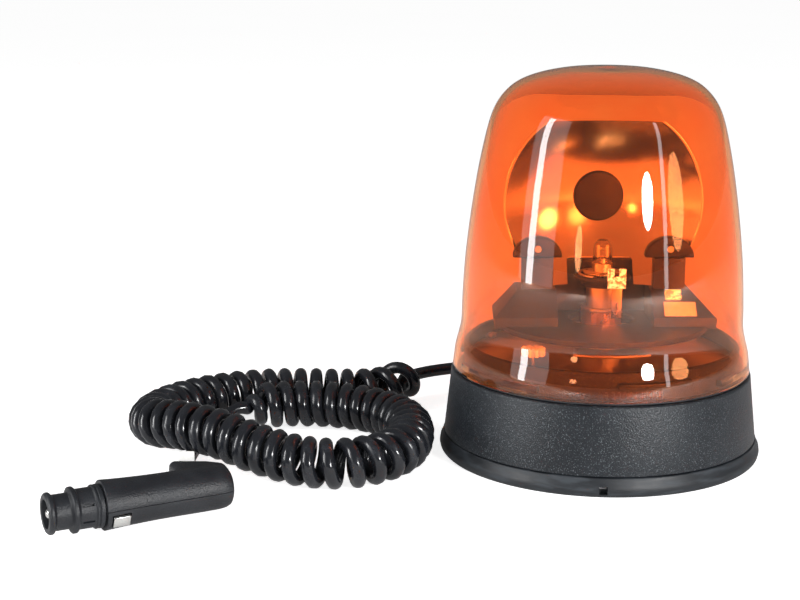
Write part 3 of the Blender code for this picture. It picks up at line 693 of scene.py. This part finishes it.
def floor_finish():
    """A pale floor that glows to the camera and through the lens, and lights the plastics only a little."""
    look = Finish("pale_floor")
    shade = look.grain(900, 2.0)
    colour = look.patched(shade, 0.3, 0.7, (0.90, 0.90, 0.90, 1), (0.92, 0.92, 0.92, 1))
    camera_ray = look.node("LightPath", {}, {}, "Is Camera Ray")
    lens_ray = look.node("LightPath", {}, {}, "Is Transmission Ray")
    glow = 0.12 + (camera_ray + lens_ray) * 0.7
    return look.painted(
        Base_Color=colour, Roughness=0.9, Emission_Color=(1, 1, 1, 1), Emission_Strength=glow,
        Specular_IOR_Level=0.0,
    )


make_camera()
cord = make_cord()

finishes = {
    "lens_amber": amber(),
    "housing_black": textured_plastic(),
    "plug_black": plug_plastic(),
    "dark_moulding": moulded_plastic(),
    "foot_rubber": foot_rubber(),
    "cord_black": cord_jacket(),
    "zinc_steel": metal("zinc_plated_steel", (0.55, 0.56, 0.58, 1), (0.70, 0.71, 0.73, 1), 0.26, 0.42),
    "lamp_metal": metal("drawn_lamp_metal", (0.60, 0.57, 0.50, 1), (0.78, 0.75, 0.68, 1), 0.20, 0.34),
    "contact_metal": metal("nickel_contact", (0.72, 0.72, 0.70, 1), (0.86, 0.86, 0.84, 1), 0.14, 0.28),
    "brass": metal("turned_brass", (0.72, 0.50, 0.22, 1), (0.86, 0.64, 0.32, 1), 0.18, 0.32),
    "ferrite": plain("sintered_ferrite", (0.035, 0.035, 0.036, 1), (0.065, 0.064, 0.063, 1), 0.55, 0.8),
    "white_nylon": nylon(),
    "reflector_mirror": mirror(),
    "quartz_glass": quartz(),
    "insulation_red": plain("red_insulation", (0.42, 0.02, 0.02, 1), (0.55, 0.035, 0.03, 1), 0.3, 0.45),
    "label_white": plain(
        "blank_paper_label", (0.74, 0.74, 0.71, 1), (0.84, 0.84, 0.82, 1), 0.45, 0.6,
        size=3.0, grain=0.25, depth=0.01,
    ),
}
smoke_grey = gear_plastic()
# Two painted glints: metals that glow in their own colour though they are no lamp.
painted_glint_spring = painted_glint("painted_glint_lamp_spring", (0.22, 0.16, 0.08, 1), (0.95, 0.90, 0.74, 1), 3.2)
painted_glint_brass = painted_glint("painted_glint_brass_clip", (0.45, 0.30, 0.12, 1), (0.95, 0.82, 0.50, 1), 2.6)


def dress_frame():
    """Gives every CAD node that stays the full material of its slot."""
    for part in frame["record"]["subparts"]:
        for slot in nodes[part["node"]].material_slots:
            slot.material = finishes[part["material_slot"]]


dress_frame()


# ---------------------------------------------------------------- foot and housing


BOTTOM_SCREWS = [ring_place(70.5, math.radians(degrees)) for degrees in (-60, 60, 180)]
CHASSIS_SCREWS = [ring_place(63.5, math.radians(degrees)) for degrees in (-90, 30, 150)]
MOTOR_PLACE = (-38.44, -49.91, 0)
CORD_HEIGHT = 20


def make_foot():
    """The rubber ring that stands on the roof, the steel bottom with its screws, and the pot magnet."""
    outline = closed((
        (75.5, 0.0), (81.0, 0.0), (82.1, 1.2), (82.5, 3.2), (82.2, 5.2), (80.9, 7.6), (80.6, 9.5),
        (75.5, 9.5), (75.5, 4.6), (78.4, 4.6), (78.4, 2.6), (75.5, 2.6),
    ))
    ring = turned("foot_rubber_ring", eased(outline, 0.7), ALL_ROUND)
    cut(ring, block("notch", (-9.0, -84.0, 1.6), (-5.0, -77.5, 5.6)))
    finish(ring, "base", "foot_rubber", "foot_ring")
    plate = closed((
        (3.6, 13.3), (46.2, 13.3), (46.2, 3.0), (78.0, 3.0), (78.0, 4.2), (47.4, 4.2), (47.4, 14.5),
        (3.6, 14.5),
    ))
    pressed = turned("pressed_bottom_plate", eased(plate, 1.0), ALL_ROUND)
    for number, place in enumerate(BOTTOM_SCREWS, 1):
        cut(pressed, moved(rod("screw_hole", 1.9, 0, 8), shift(place)))
        head = [(0, 0.9), (2.2, 0.9), (3.0, 1.6), (3.0, 2.65), (1.5, 2.65), (1.5, 14), (0, 14)]
        screw = moved(turned("plate_screw", eased(head, 0.3), SMALL_ROUND), shift(place))
        crossed(screw, (-1.7, -0.35, 0.0), (1.7, 0.35, 1.75), place, 0.4 * number)
        finish(screw, "base", "zinc_steel", f"bottom_screw_{number}")
    finish(pressed, "base", "zinc_steel", "bottom_plate")
    cup = closed(((3.5, 11), (42, 11), (42, 0.4), (45, 0.4), (45, 13), (3.5, 13)))
    cup = turned("magnet_pot", eased(cup, 0.8), ALL_ROUND)
    finish(cup, "base", "zinc_steel", "magnet_cup")
    magnet = closed(((8, 0.8), (41.6, 0.8), (41.6, 10.6), (8, 10.6)))
    magnet = turned("magnet_disc", eased(magnet, 0.7), ALL_ROUND)
    finish(magnet, "base", "ferrite", "ring_magnet")
    bolt = [(0, 7.2), (5.5, 7.2), (5.5, 10.6), (3, 10.6), (3, 21), (0, 21)]
    bolt = turned("magnet_bolt_domed", eased(bolt, 0.6), 48)
    cut(bolt, moved(turned("hex_socket", ((0, 5), (2.9, 5), (2.9, 9.4), (0, 9.4)), 6), spin_z(0.2)))
    finish(bolt, "base", "zinc_steel", "magnet_bolt")


def make_housing():
    """The black housing with its neck, which holds the lens by three lugs."""
    outline = closed((
        (77.2, 9.85), (80.2, 9.85), (78.4, 26.0), (76.6, 42.7), (75.8, 43.5), (70.0, 43.5), (70.0, 58.0),
        (67.3, 58.0), (67.3, 49.65), (60.0, 49.65), (60.0, 46.8), (67.3, 46.8), (67.3, 40.5), (73.6, 40.5),
    ))
    shell = turned("textured_housing", eased(outline, 0.6), ALL_ROUND)
    rearward = shift((0, 0, CORD_HEIGHT)) @ Matrix.Rotation(-math.pi / 2, 4, "X")
    cut(shell, moved(rod("cable_hole", 6.6, 64, 92, 48), rearward))
    for turn in range(3):
        lug = closed(((68.6, 50.5), (72.0, 50.5), (72.0, 53.0), (68.6, 53.6)))
        lug = turned("neck_lug", lug, 16, start=math.radians(-90 + 120 * turn), sweep=math.radians(30))
        added(shell, softened(lug, 0.25, 2))
    for place in BOTTOM_SCREWS:
        added(shell, moved(rod("screw_boss", 3.8, 4.6, 42.0), shift(place)))
        cut(shell, moved(rod("screw_bore", 1.9, 0, 16), shift(place)))
    for place in CHASSIS_SCREWS:
        cut(shell, moved(rod("chassis_bore", 1.6, 44, 52), shift(place)))
    cut(shell, moved(rod("motor_bore", 4.2, 44, 51), shift(MOTOR_PLACE)))
    finish(shell, "base", "housing_black", "base_housing")


def make_chassis():
    """The steel disc over the motor, its screws, and the hollow post that carries the lamp."""
    plate = closed(((5.6, 50.0), (66.8, 50.0), (66.8, 51.2), (5.6, 51.2)))
    plate = turned("chassis_disc", eased(plate, 0.3, 2), ALL_ROUND)
    cut(plate, moved(rod("shaft_hole", 3.2, 48, 54), shift(MOTOR_PLACE)))
    for number, place in enumerate(CHASSIS_SCREWS, 1):
        cut(plate, moved(rod("chassis_hole", 1.7, 48, 54), shift(place)))
        head = [(0, 45.0), (1.2, 45.0), (1.2, 51.55), (2.8, 51.55), (2.8, 52.6), (2.0, 53.6), (0, 53.8)]
        screw = moved(turned("pan_screw", eased(head, 0.3), SMALL_ROUND), shift(place))
        crossed(screw, (-1.7, -0.3, 52.9), (1.7, 0.3, 54.5), place, 0.5 * number)
        finish(screw, "base", "zinc_steel", f"chassis_screw_{number}")
    finish(plate, "base", "zinc_steel", "chassis_plate")
    post = closed((
        (5.0, 51.55), (14.0, 51.55), (14.0, 53.95), (10.5, 53.95), (10.5, 59.8), (8.0, 59.8), (8.0, 74.0),
        (7.1, 74.0), (7.1, 75.4), (8.0, 75.4), (8.0, 86.0), (5.0, 86.0),
    ))
    post = turned("hollow_lamp_post", eased(post, 0.3), FINE_ROUND)
    finish(post, "base", "zinc_steel", "lamp_post")


# ---------------------------------------------------------------- lamp


FILAMENT_TURNS = 9
FILAMENT_STEPS = 72
FILAMENT_RADIUS = 0.55


def make_lamp():
    """The lamp with its cap, capsule and filament, its holder, and the metal that springs it in."""
    holder = closed((
        (5.0, 86.35), (10.5, 86.35), (10.5, 90.0), (14.6, 90.0), (14.6, 91.4), (8.2, 91.4), (8.2, 88.5),
        (5.0, 88.5),
    ))
    holder = turned("lamp_holder_flange", eased(holder, 0.35), FINE_ROUND)
    for degrees in (20, 160):
        cut(holder, moved(block("ear_gap", (11.4, -2.2, 86), (18, 2.2, 93)), spin_z(math.radians(degrees))))
    finish(holder, "base", "dark_moulding", "lamp_holder")
    clip = closed(((11.0, 91.75), (12.4, 91.75), (12.4, 92.9), (11.0, 92.9)))
    clip = turned("lamp_wire_clip", clip, 40, start=math.radians(-60), sweep=math.radians(300))
    finish(softened(clip, 0.4), "base", "zinc_steel", "lamp_clip")
    plate = block("lamp_spring_plate", (1.0, -15.2, 87.4), (10.2, -14.4, 97.6), 0.3)
    cut(plate, block("spring_gap", (4.3, -17, 93.4), (6.7, -12, 99), 0.4))
    # The spring plate glows: a painted glint.
    finish(plate, "base", "lamp_metal", material=painted_glint_spring)
    strip = block("lamp_terminal_strip", (3.2, -15.0, 72.0), (8.4, -14.5, 88.2), 0.2)
    cut(strip, block("strip_gap", (5.3, -17, 74), (6.1, -12, 80), 0.1))
    finish(strip, "base", "lamp_metal")
    base = [
        (0, 84.0), (3.0, 84.0), (3.0, 88.85), (7.6, 88.85), (7.6, 92.4), (9.6, 92.4), (9.6, 93.4),
        (5.2, 93.4), (5.2, 98.0), (0, 98.0),
    ]
    base = turned("lamp_cap", eased(base, 0.3), FINE_ROUND)
    for turn in range(4):
        rib = block("cap_crimp", (4.6, -0.8, 94.0), (5.8, 0.8, 97.4), 0.25, 2)
        added(base, moved(rib, spin_z(math.radians(45 + 90 * turn))))
    added(base, block("glass_pinch", (-1.0, -2.4, 97.0), (1.0, 2.4, 100.2), 0.3, 2))
    finish(base, "base", "lamp_metal", "lamp_base")
    outer = [
        (2.9, 99.4), (2.9, 98.4), (5.0, 98.4), (5.0, 104.5), (4.7, 107.0), (3.6, 109.0), (2.0, 110.0),
        (0, 110.2),
    ]
    inner = [(0, 109.2), (1.7, 109.0), (3.0, 108.0), (3.8, 106.5), (4.0, 104.5), (4.0, 99.4), (2.9, 99.4)]
    glass = turned("lamp_glass_capsule", eased(outer, 0.5) + eased(inner, 0.3), FINE_ROUND)
    finish(glass, "base", "quartz_glass", "lamp_glass", angle=60)
    posts = [
        moved(rod("filament_post", 1.0, 100.6, 107.0, SMALL_ROUND, 0.4), shift((2.3 * side, 0, 0)))
        for side in (-1, 1)
    ]
    points = []
    for step in range(FILAMENT_STEPS + 1):
        share = step / FILAMENT_STEPS
        angle = ROUND * FILAMENT_TURNS * share
        across = FILAMENT_RADIUS * math.sin(angle)
        points.append((-1.6 + 3.2 * share, across, 105.0 + FILAMENT_RADIUS * math.cos(angle)))
    coil = round_wire("coiled_filament", points, 0.17, 3)
    choose(coil)
    bpy.ops.object.convert(target="MESH")
    filament = joined([coil, *posts], "coiled_filament")
    finish(filament, "base", "lamp_metal", "lamp_filament")


# ---------------------------------------------------------------- rotor


GEAR_TEETH = 116
GEAR_TIP = 58.7
GEAR_ROOT = 56.75
GEAR_TOOTH = ((-0.30, GEAR_ROOT), (-0.14, GEAR_TIP), (0.14, GEAR_TIP), (0.30, GEAR_ROOT))
GEAR_LOW = 62.0
GEAR_RIM = 3.2
GEAR_THICKNESS = 4.0
MOTOR_ANGLE = math.radians(-127.6)
CLAMP_SIDE = 33.5
REFLECTOR_HEIGHT = 128.5
REFLECTOR_BORE = 13.0
REFLECTOR_RIM = 50.0
REFLECTOR_DEPTH = 25.0
REFLECTOR_FOCUS = 27.0
REFLECTOR_WALL = 1.5
REFLECTOR_STEPS = 40


def make_gear():
    """The toothed disc, whose first tooth points at the motor."""
    deselect()
    bpy.ops.mesh.primitive_circle_add(
        vertices=len(GEAR_TOOTH) * GEAR_TEETH, radius=GEAR_ROOT * MM, fill_type="NGON", location=(0, 0, 0)
    )
    gear = active_piece("toothed_rotor_disc")
    for index, vertex in enumerate(gear.data.vertices):
        tooth, corner = divmod(index, len(GEAR_TOOTH))
        spread, radius = GEAR_TOOTH[corner]
        angle = MOTOR_ANGLE + (tooth + spread) * ROUND / GEAR_TEETH
        vertex.co = ring_place(radius, angle, GEAR_LOW) * MM
    choose(gear)
    bpy.ops.object.mode_set(mode="EDIT")
    bpy.ops.mesh.select_all(action="SELECT")
    bpy.ops.mesh.inset(thickness=GEAR_RIM * MM)
    bpy.ops.mesh.inset(thickness=0.5 * MM)
    bpy.ops.mesh.select_all(action="SELECT")
    bpy.ops.mesh.extrude_region_move(TRANSFORM_OT_translate={"value": (0, 0, GEAR_THICKNESS * MM)})
    bpy.ops.mesh.select_all(action="SELECT")
    bpy.ops.mesh.normals_make_consistent(inside=False)
    bpy.ops.object.mode_set(mode="OBJECT")
    hub = closed(((10.9, 60.6), (15.5, 60.6), (15.5, 73.4), (10.9, 73.4)))
    added(gear, turned("disc_hub", hub, FINE_ROUND))
    cut(gear, rod("hub_bore", 10.9, 50, 90, FINE_ROUND))
    groove = closed(((54.4, 65.5), (55.2, 65.5), (55.2, 67.0), (54.4, 67.0)))
    cut(gear, turned("disc_groove", groove, ALL_ROUND))
    finish(gear, "rotor", "white_nylon", "rotor_gear", material=smoke_grey)


def make_carrier():
    """The moulding that turns with the disc, its two clamps, its blank label and its clip."""
    floor = closed(((17.0, 66.35), (54.0, 66.35), (54.0, 69.0), (17.0, 69.0)))
    carrier = turned("rotor_carrier_moulding", floor, ALL_ROUND)
    upright = Matrix.Rotation(math.pi / 2, 4, "X")
    slope = shift((0, -14.5, 79)) @ Matrix.Rotation(math.radians(45), 4, "X")
    for side in (-1, 1):
        profile = [(24, 68), (55.3, 68), (55.6, 73), (44, 85.2), (24, 85.2)]
        shoulder = moved(slab("carrier_shoulder", [(side * x, z) for x, z in profile], -12, 20), upright)
        added(carrier, cut(shoulder, moved(block("front_slope", (-60, -14, 0), (60, 14, 20)), slope)))
        middle = side * CLAMP_SIDE
        added(carrier, block("clamp_stem", (middle - 8, -5.2, 80), (middle + 8, 1.0, 101)))
    added(carrier, block("rear_wall", (-30, 17.6, 67), (30, 23, 96)))
    cut(carrier, rod("lamp_well", 19.0, 85.8, 100, FINE_ROUND))
    softened(carrier, 0.6, 3, 40)
    finish(carrier, "rotor", "dark_moulding", "rotor_carrier")
    for side, name in ((-1, "left"), (1, "right")):
        cap = [
            (side * CLAMP_SIDE + 12.5 * math.cos(t), 101.35 + 10.5 * math.sin(t))
            for t in (math.pi * step / 28 for step in range(29))
        ]
        head = moved(slab(f"{name}_clamp_cap", cap, -1.0, 5.2, 0.7), upright)
        cut(head, moved(rod("clamp_dimple", 2.6, 4.4, 8), shift((side * CLAMP_SIDE, 0, 106)) @ upright))
        finish(head, "rotor", "dark_moulding", f"reflector_clamp_{name}")
    label = moved(block("blank_shoulder_label", (29.5, -7.0, 0.35), (45.5, 1.4, 0.75), 0.15, 2), slope)
    finish(label, "rotor", "label_white", "carrier_label")
    clip = block("brass_earth_clip", (30.5, 2.4, 0.35), (38.5, 7.4, 3.4), 0.6)
    cut(clip, block("clip_slot", (34.6, 3.9, 1.4), (40, 5.6, 5)))
    # The brass clip glows: a painted glint.
    finish(moved(clip, slope), "rotor", "brass", "carrier_clip", material=painted_glint_brass)


def make_reflector():
    """The parabolic bowl, trimmed flat above and below, and the boss in its middle."""
    front = []
    back = []
    for step in range(REFLECTOR_STEPS + 1):
        radius = REFLECTOR_BORE + (REFLECTOR_RIM - REFLECTOR_BORE) * step / REFLECTOR_STEPS
        depth = REFLECTOR_DEPTH - radius * radius / (4 * REFLECTOR_FOCUS)
        lean = math.atan(radius / (2 * REFLECTOR_FOCUS))
        outward = REFLECTOR_WALL * math.sin(lean) if step else 0
        front.append((radius, depth))
        back.append((radius + outward, depth + REFLECTOR_WALL * math.cos(lean)))
    back[-1] = (back[-1][0], front[-1][1])
    bowl = turned("parabolic_reflector", closed(eased(back + front[::-1], 0.3, 2)), 160, "Y")
    moved(bowl, shift((0, 0, REFLECTOR_HEIGHT)))
    sliced(bowl, (0, 0, 169.5), (0, 0, 1))
    sliced(bowl, (0, 0, 85.5), (0, 0, -1))
    cut(bowl, block("reflector_notch", (-17, -20, 40), (17, 60, 98), 1.5))
    finish(bowl, "rotor", "reflector_mirror", "reflector", angle=40)
    boss = [(0, 22.0), (12.65, 22.0), (12.65, 26.8), (16, 26.8), (16, 29.0), (0, 29.0)]
    boss = turned("reflector_boss_disc", eased(boss, 0.6), FINE_ROUND, "Y")
    moved(boss, shift((0, 0, REFLECTOR_HEIGHT)))
    finish(boss, "rotor", "dark_moulding", "reflector_boss")


# ---------------------------------------------------------------- lens


LENS_OUTLINE = (
    (76.0, 44.9), (75.4, 50.0), (74.7, 55.0), (73.1, 61.0), (71.9, 67.0), (71.5, 78.0), (70.2, 100.0),
    (67.0, 127.0), (62.8, 152.0), (58.0, 172.0), (55.0, 179.0), (51.0, 184.5), (45.5, 189.2), (37.0, 193.0),
    (22.0, 196.3), (0.0, 197.8),
)
LENS_WALL = 2.4
LENS_RIM = LENS_OUTLINE[0][1]
RATCHET_RIBS = 10
RATCHET_START = -94.5
RATCHET_PITCH = 2.35


def make_lens():
    """The amber dome with its ramps and ratchet ribs, and the seal under its rim."""
    outer = smooth_flat(LENS_OUTLINE)
    inner = []
    for index, (radius, height) in enumerate(outer):
        before = outer[max(index - 1, 0)]
        after = outer[min(index + 1, len(outer) - 1)]
        normal = Vector((after[1] - before[1], before[0] - after[0])).normalized() * LENS_WALL
        inner.append((radius - normal.x, height - normal.y))
    inner[0] = (inner[0][0], LENS_RIM)
    inner[-1] = (0, outer[-1][1] - LENS_WALL)
    dome = turned("amber_dome", outer[::-1] + inner, ALL_ROUND)
    for turn in range(3):
        start = math.radians(-45 + 120 * turn)
        ramp = closed(((70.4, 46.7), (74.0, 46.7), (74.0, 49.8), (70.4, 49.4)))
        added(dome, turned("bayonet_ramp", ramp, 24, start=start, sweep=math.radians(44)))
    for number in range(RATCHET_RIBS):
        rib = block("ratchet_rib", (70.9, -0.6, 46.2), (74.2, 0.6, 49.4), 0.2, 2)
        added(dome, moved(rib, spin_z(math.radians(RATCHET_START + RATCHET_PITCH * number))))
    finish(dome, "lens_dome", "lens_amber", "lens", angle=50)
    seal = closed(((70.7, 43.8), (75.2, 43.8), (75.2, 44.55), (70.7, 44.55)))
    seal = turned("lens_seal_ring", eased(seal, 0.25), ALL_ROUND)
    finish(seal, "lens_ring", "foot_rubber", "lens_seal")


def smooth_flat(outline):
    """A fine smooth line through flat points, as pairs."""
    return [(point.x, point.y) for point in smooth_route([(x, y, 0) for x, y in outline], 2.2)]


# ---------------------------------------------------------------- plug and cord fittings


PLUG_PLACE = shift((-259.65, -135.5, 11.9)) @ spin_z(math.radians(27))
CONTACT_TURN = math.radians(27)
CASE_SCREW = (76, 3, 0)
SHELL_SEAM = 0.15
ELBOW_HALF = 9.7
ELBOW_BALLS = (
    (66.1, 4.0, 3.0), (66.1, 16.1, 3.0), (78.4, 9.5, 4.5), (82.9, 5.0, 4.9), (82.0, -0.5, 5.0),
    (79.0, -1.2, 4.8),
)


def hull_of_balls(name, balls, half_height):
    """A rounded solid round balls of (x, y, radius) that touch the same top and bottom."""
    corners = []
    for x, y, radius in balls:
        for side in (-1, 1):
            deselect()
            bpy.ops.mesh.primitive_uv_sphere_add(
                segments=24, ring_count=12, radius=radius * MM,
                location=(x * MM, y * MM, side * (half_height - radius) * MM),
            )
            corner = active_piece(name)
            settle(corner)
            corners.append(corner)
    piece = joined(corners, name)
    bpy.ops.object.mode_set(mode="EDIT")
    bpy.ops.mesh.select_all(action="SELECT")
    bpy.ops.mesh.convex_hull()
    bpy.ops.mesh.select_all(action="SELECT")
    bpy.ops.mesh.normals_make_consistent(inside=False)
    bpy.ops.object.mode_set(mode="OBJECT")
    return piece


def make_plug():
    """The plug along X from its nose, then carried to its place: nose, pin, contacts and two shells."""
    outline = closed((
        (6.5, 0), (8.6, 0), (9.5, 1.0), (9.5, 2.4), (8.15, 3.4), (8.15, 10.2), (10.5, 11.2), (10.5, 13.0),
        (9.15, 14.0), (9.15, 21.0), (10.0, 21.4), (10.0, 22.2), (9.4, 22.6), (10.0, 23.0), (10.0, 25.0),
        (5.6, 25.0), (5.6, 10.4), (2.95, 10.4), (2.95, 8.2), (6.5, 8.2),
    ))
    nose = turned("plug_nose_ringed", eased(outline, 0.45), 96, "X")
    for degrees in (-65, -115, 65, 115):
        slot = block("nose_slot", (14.8, -0.6, 7.6), (20.2, 0.6, 12), 0.2, 2)
        cut(nose, moved(slot, Matrix.Rotation(math.radians(degrees), 4, "X")))
    finish(moved(nose, PLUG_PLACE), "base", "plug_black", "plug_nose")
    pin = [
        (0, 0.3), (0.9, 0.4), (1.8, 0.9), (2.4, 1.8), (2.7, 3.2), (2.7, 10.9), (4.8, 10.9), (4.8, 12.4),
        (0, 12.4),
    ]
    pin = turned("domed_centre_pin", eased(pin, 0.3), 48, "X")
    finish(moved(pin, PLUG_PLACE), "centre_pin", "contact_metal", "plug_pin")
    side = (
        (11.55, 25.4), (11.4, 27.5), (11.0, 34.0), (10.5, 48.0), (10.4, 60.0), (10.4, 76.0), (10.2, 81.5),
        (9.4, 84.8), (7.6, 86.2), (5.0, 86.4),
    )
    side = smooth_flat(side)
    bar = turned("plug_handle", eased([(0, 25.4), *side, (0, 86.4)], 0.4), 96, "X")
    added(bar, hull_of_balls("plug_elbow", ELBOW_BALLS, ELBOW_HALF))
    hollow = ((0, 23.4), (8.9, 23.4), (8.4, 34.0), (8.0, 48.0), (7.9, 80.0), (6.4, 83.6), (0, 83.6))
    cut(bar, turned("handle_hollow", hollow, 48, "X"))
    mouth = turned("cord_mouth", ((0, -12), (3.9, -12), (3.9, 6), (0, 6)), 48, "X")
    cut(bar, moved(mouth, shift((71.35, 17.25, 0)) @ spin_z(math.radians(67.9))))
    for turn, name in ((CONTACT_TURN, "near"), (CONTACT_TURN + math.pi, "far")):
        about = Matrix.Rotation(turn, 4, "X")
        window = block("contact_window", (27.4, -14, -3.4), (36.2, -7, 3.4), 0.35, 2)
        cut(bar, moved(window, about))
        contact = block(f"{name}_side_contact", (27.9, -12.1, -3.0), (35.7, -10.0, 3.0), 0.55)
        moved(contact, PLUG_PLACE @ about)
        finish(contact, f"{name}_contact", "contact_metal", f"plug_contact_{name}")
    upper = sliced(copied(bar, "plug_handle_upper"), (0, 0, SHELL_SEAM), (0, 0, -1))
    lower = sliced(bar, (0, 0, -SHELL_SEAM), (0, 0, 1))
    lower.name = "plug_handle_lower"
    cut(lower, moved(rod("screw_recess", 2.9, -14, -7.6), shift(CASE_SCREW)))
    for half in (upper, lower):
        softened(half, 0.25, 2, 50)
        finish(moved(half, PLUG_PLACE), "base", "plug_black", half.name.replace("handle", "shell"))
    screw = [(0, -9.6), (2.5, -9.6), (2.5, -8.0), (1.2, -8.0), (1.2, 6), (0, 6)]
    screw = moved(turned("plug_case_screw", eased(screw, 0.3), SMALL_ROUND), shift(CASE_SCREW))
    crossed(screw, (-1.6, -0.3, -11), (1.6, 0.3, -8.9), CASE_SCREW)
    finish(moved(screw, PLUG_PLACE), "base", "zinc_steel", "plug_screw")


def make_fittings():
    """The boot where the cord leaves the housing, and the blank tag on its tail."""
    outline = [
        (0, 71.0), (8.0, 71.0), (8.0, 74.4), (6.2, 74.4), (6.2, 80.0), (8.4, 80.0), (8.4, 82.4),
        (6.4, 84.0), (5.9, 87.0), (5.2, 87.2), (5.2, 88.4), (5.6, 88.6), (5.3, 91.6), (4.7, 91.8),
        (4.7, 93.0), (5.0, 93.2), (4.6, 96.0), (4.2, 99.4), (3.8, 100.0), (0, 100.0),
    ]
    relief = turned("strain_relief_boot", eased(outline, 0.3), FINE_ROUND, "Y")
    moved(relief, shift((0, 0, CORD_HEIGHT)))
    finish(relief, "base", "foot_rubber", "strain_relief")
    tag = block("blank_cord_tag", (-211.5, -58.5, 9.4), (-203.5, -57.7, 15.8), 0.25, 2)
    finish(tag, "base", "label_white", "cord_tag")
    return relief, tag


make_foot()
make_housing()
make_chassis()
make_lamp()
make_gear()
make_carrier()
make_reflector()
make_lens()
make_plug()
boot, tag = make_fittings()

cord.data.materials.append(finishes["cord_black"])
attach(cord, "base")
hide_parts("cord_lead", "cord_coil", "cord_tail")


# ---------------------------------------------------------------- floor and lights


BEACON_MIDDLE = Vector((0, 0, 0.12))
SKY_STRENGTH = 0.17
SKY_THROUGH_LENS = 0.45


def aimed_light(
    name, azimuth, elevation, distance, width, height, power, shape="RECTANGLE", through_lens=False,
    on_gloss=True,
):
    """An area light that looks at the beacon's middle from an azimuth and elevation in degrees."""
    a, e = math.radians(azimuth), math.radians(elevation)
    away = Vector((math.cos(a) * math.cos(e), math.sin(a) * math.cos(e), math.sin(e)))
    deselect()
    turn = away.to_track_quat("Z", "Y").to_euler()
    bpy.ops.object.light_add(type="AREA", location=BEACON_MIDDLE + away * distance, rotation=turn)
    light = bpy.context.object
    light.name = name
    light.data.shape = shape
    light.data.size = width
    light.data.size_y = height
    light.data.energy = power
    light.visible_transmission = through_lens
    light.visible_glossy = on_gloss


def make_stage():
    """The floor, the sky and the lights, none of which belongs to the object."""
    deselect()
    bpy.ops.mesh.primitive_circle_add(vertices=96, radius=30, fill_type="NGON", location=(0, 0, 0))
    floor = active_piece("pale_floor")
    floor.data.materials.append(floor_finish())
    world = bpy.data.worlds.new("soft_studio")
    bpy.context.scene.world = world
    world.use_nodes = True
    sky = world.node_tree.nodes["Background"]
    ray = world.node_tree.nodes.new("ShaderNodeLightPath")
    strength = world.node_tree.nodes.new("ShaderNodeMath")
    strength.operation = "MULTIPLY_ADD"
    strength.inputs[1].default_value = SKY_THROUGH_LENS
    strength.inputs[2].default_value = SKY_STRENGTH
    world.node_tree.links.new(ray.outputs["Is Transmission Ray"], strength.inputs[0])
    world.node_tree.links.new(strength.outputs[0], sky.inputs["Strength"])
    sky.inputs["Color"].default_value = (1, 1, 1, 1)
    aimed_light("left_softbox", -152, 12, 1.6, 0.9, 1.6, 10)
    aimed_light("left_core", -157, 10, 1.5, 0.16, 1.5, 14)
    aimed_light("right_strip", -46, 8, 1.5, 0.09, 1.5, 3)
    aimed_light("round_dish", -61, 10, 1.2, 0.2, 0.2, 10, "DISK")
    in_reflector = {"through_lens": True, "on_gloss": False}
    aimed_light("reflector_glow", -33, 8, 1.4, 0.36, 0.4, 6, "DISK", **in_reflector)
    aimed_light("reflector_spark", -117, 3, 1.4, 0.13, 0.17, 5, "ELLIPSE", **in_reflector)


make_stage()
bpy.context.scene.view_settings.view_transform = "Standard"
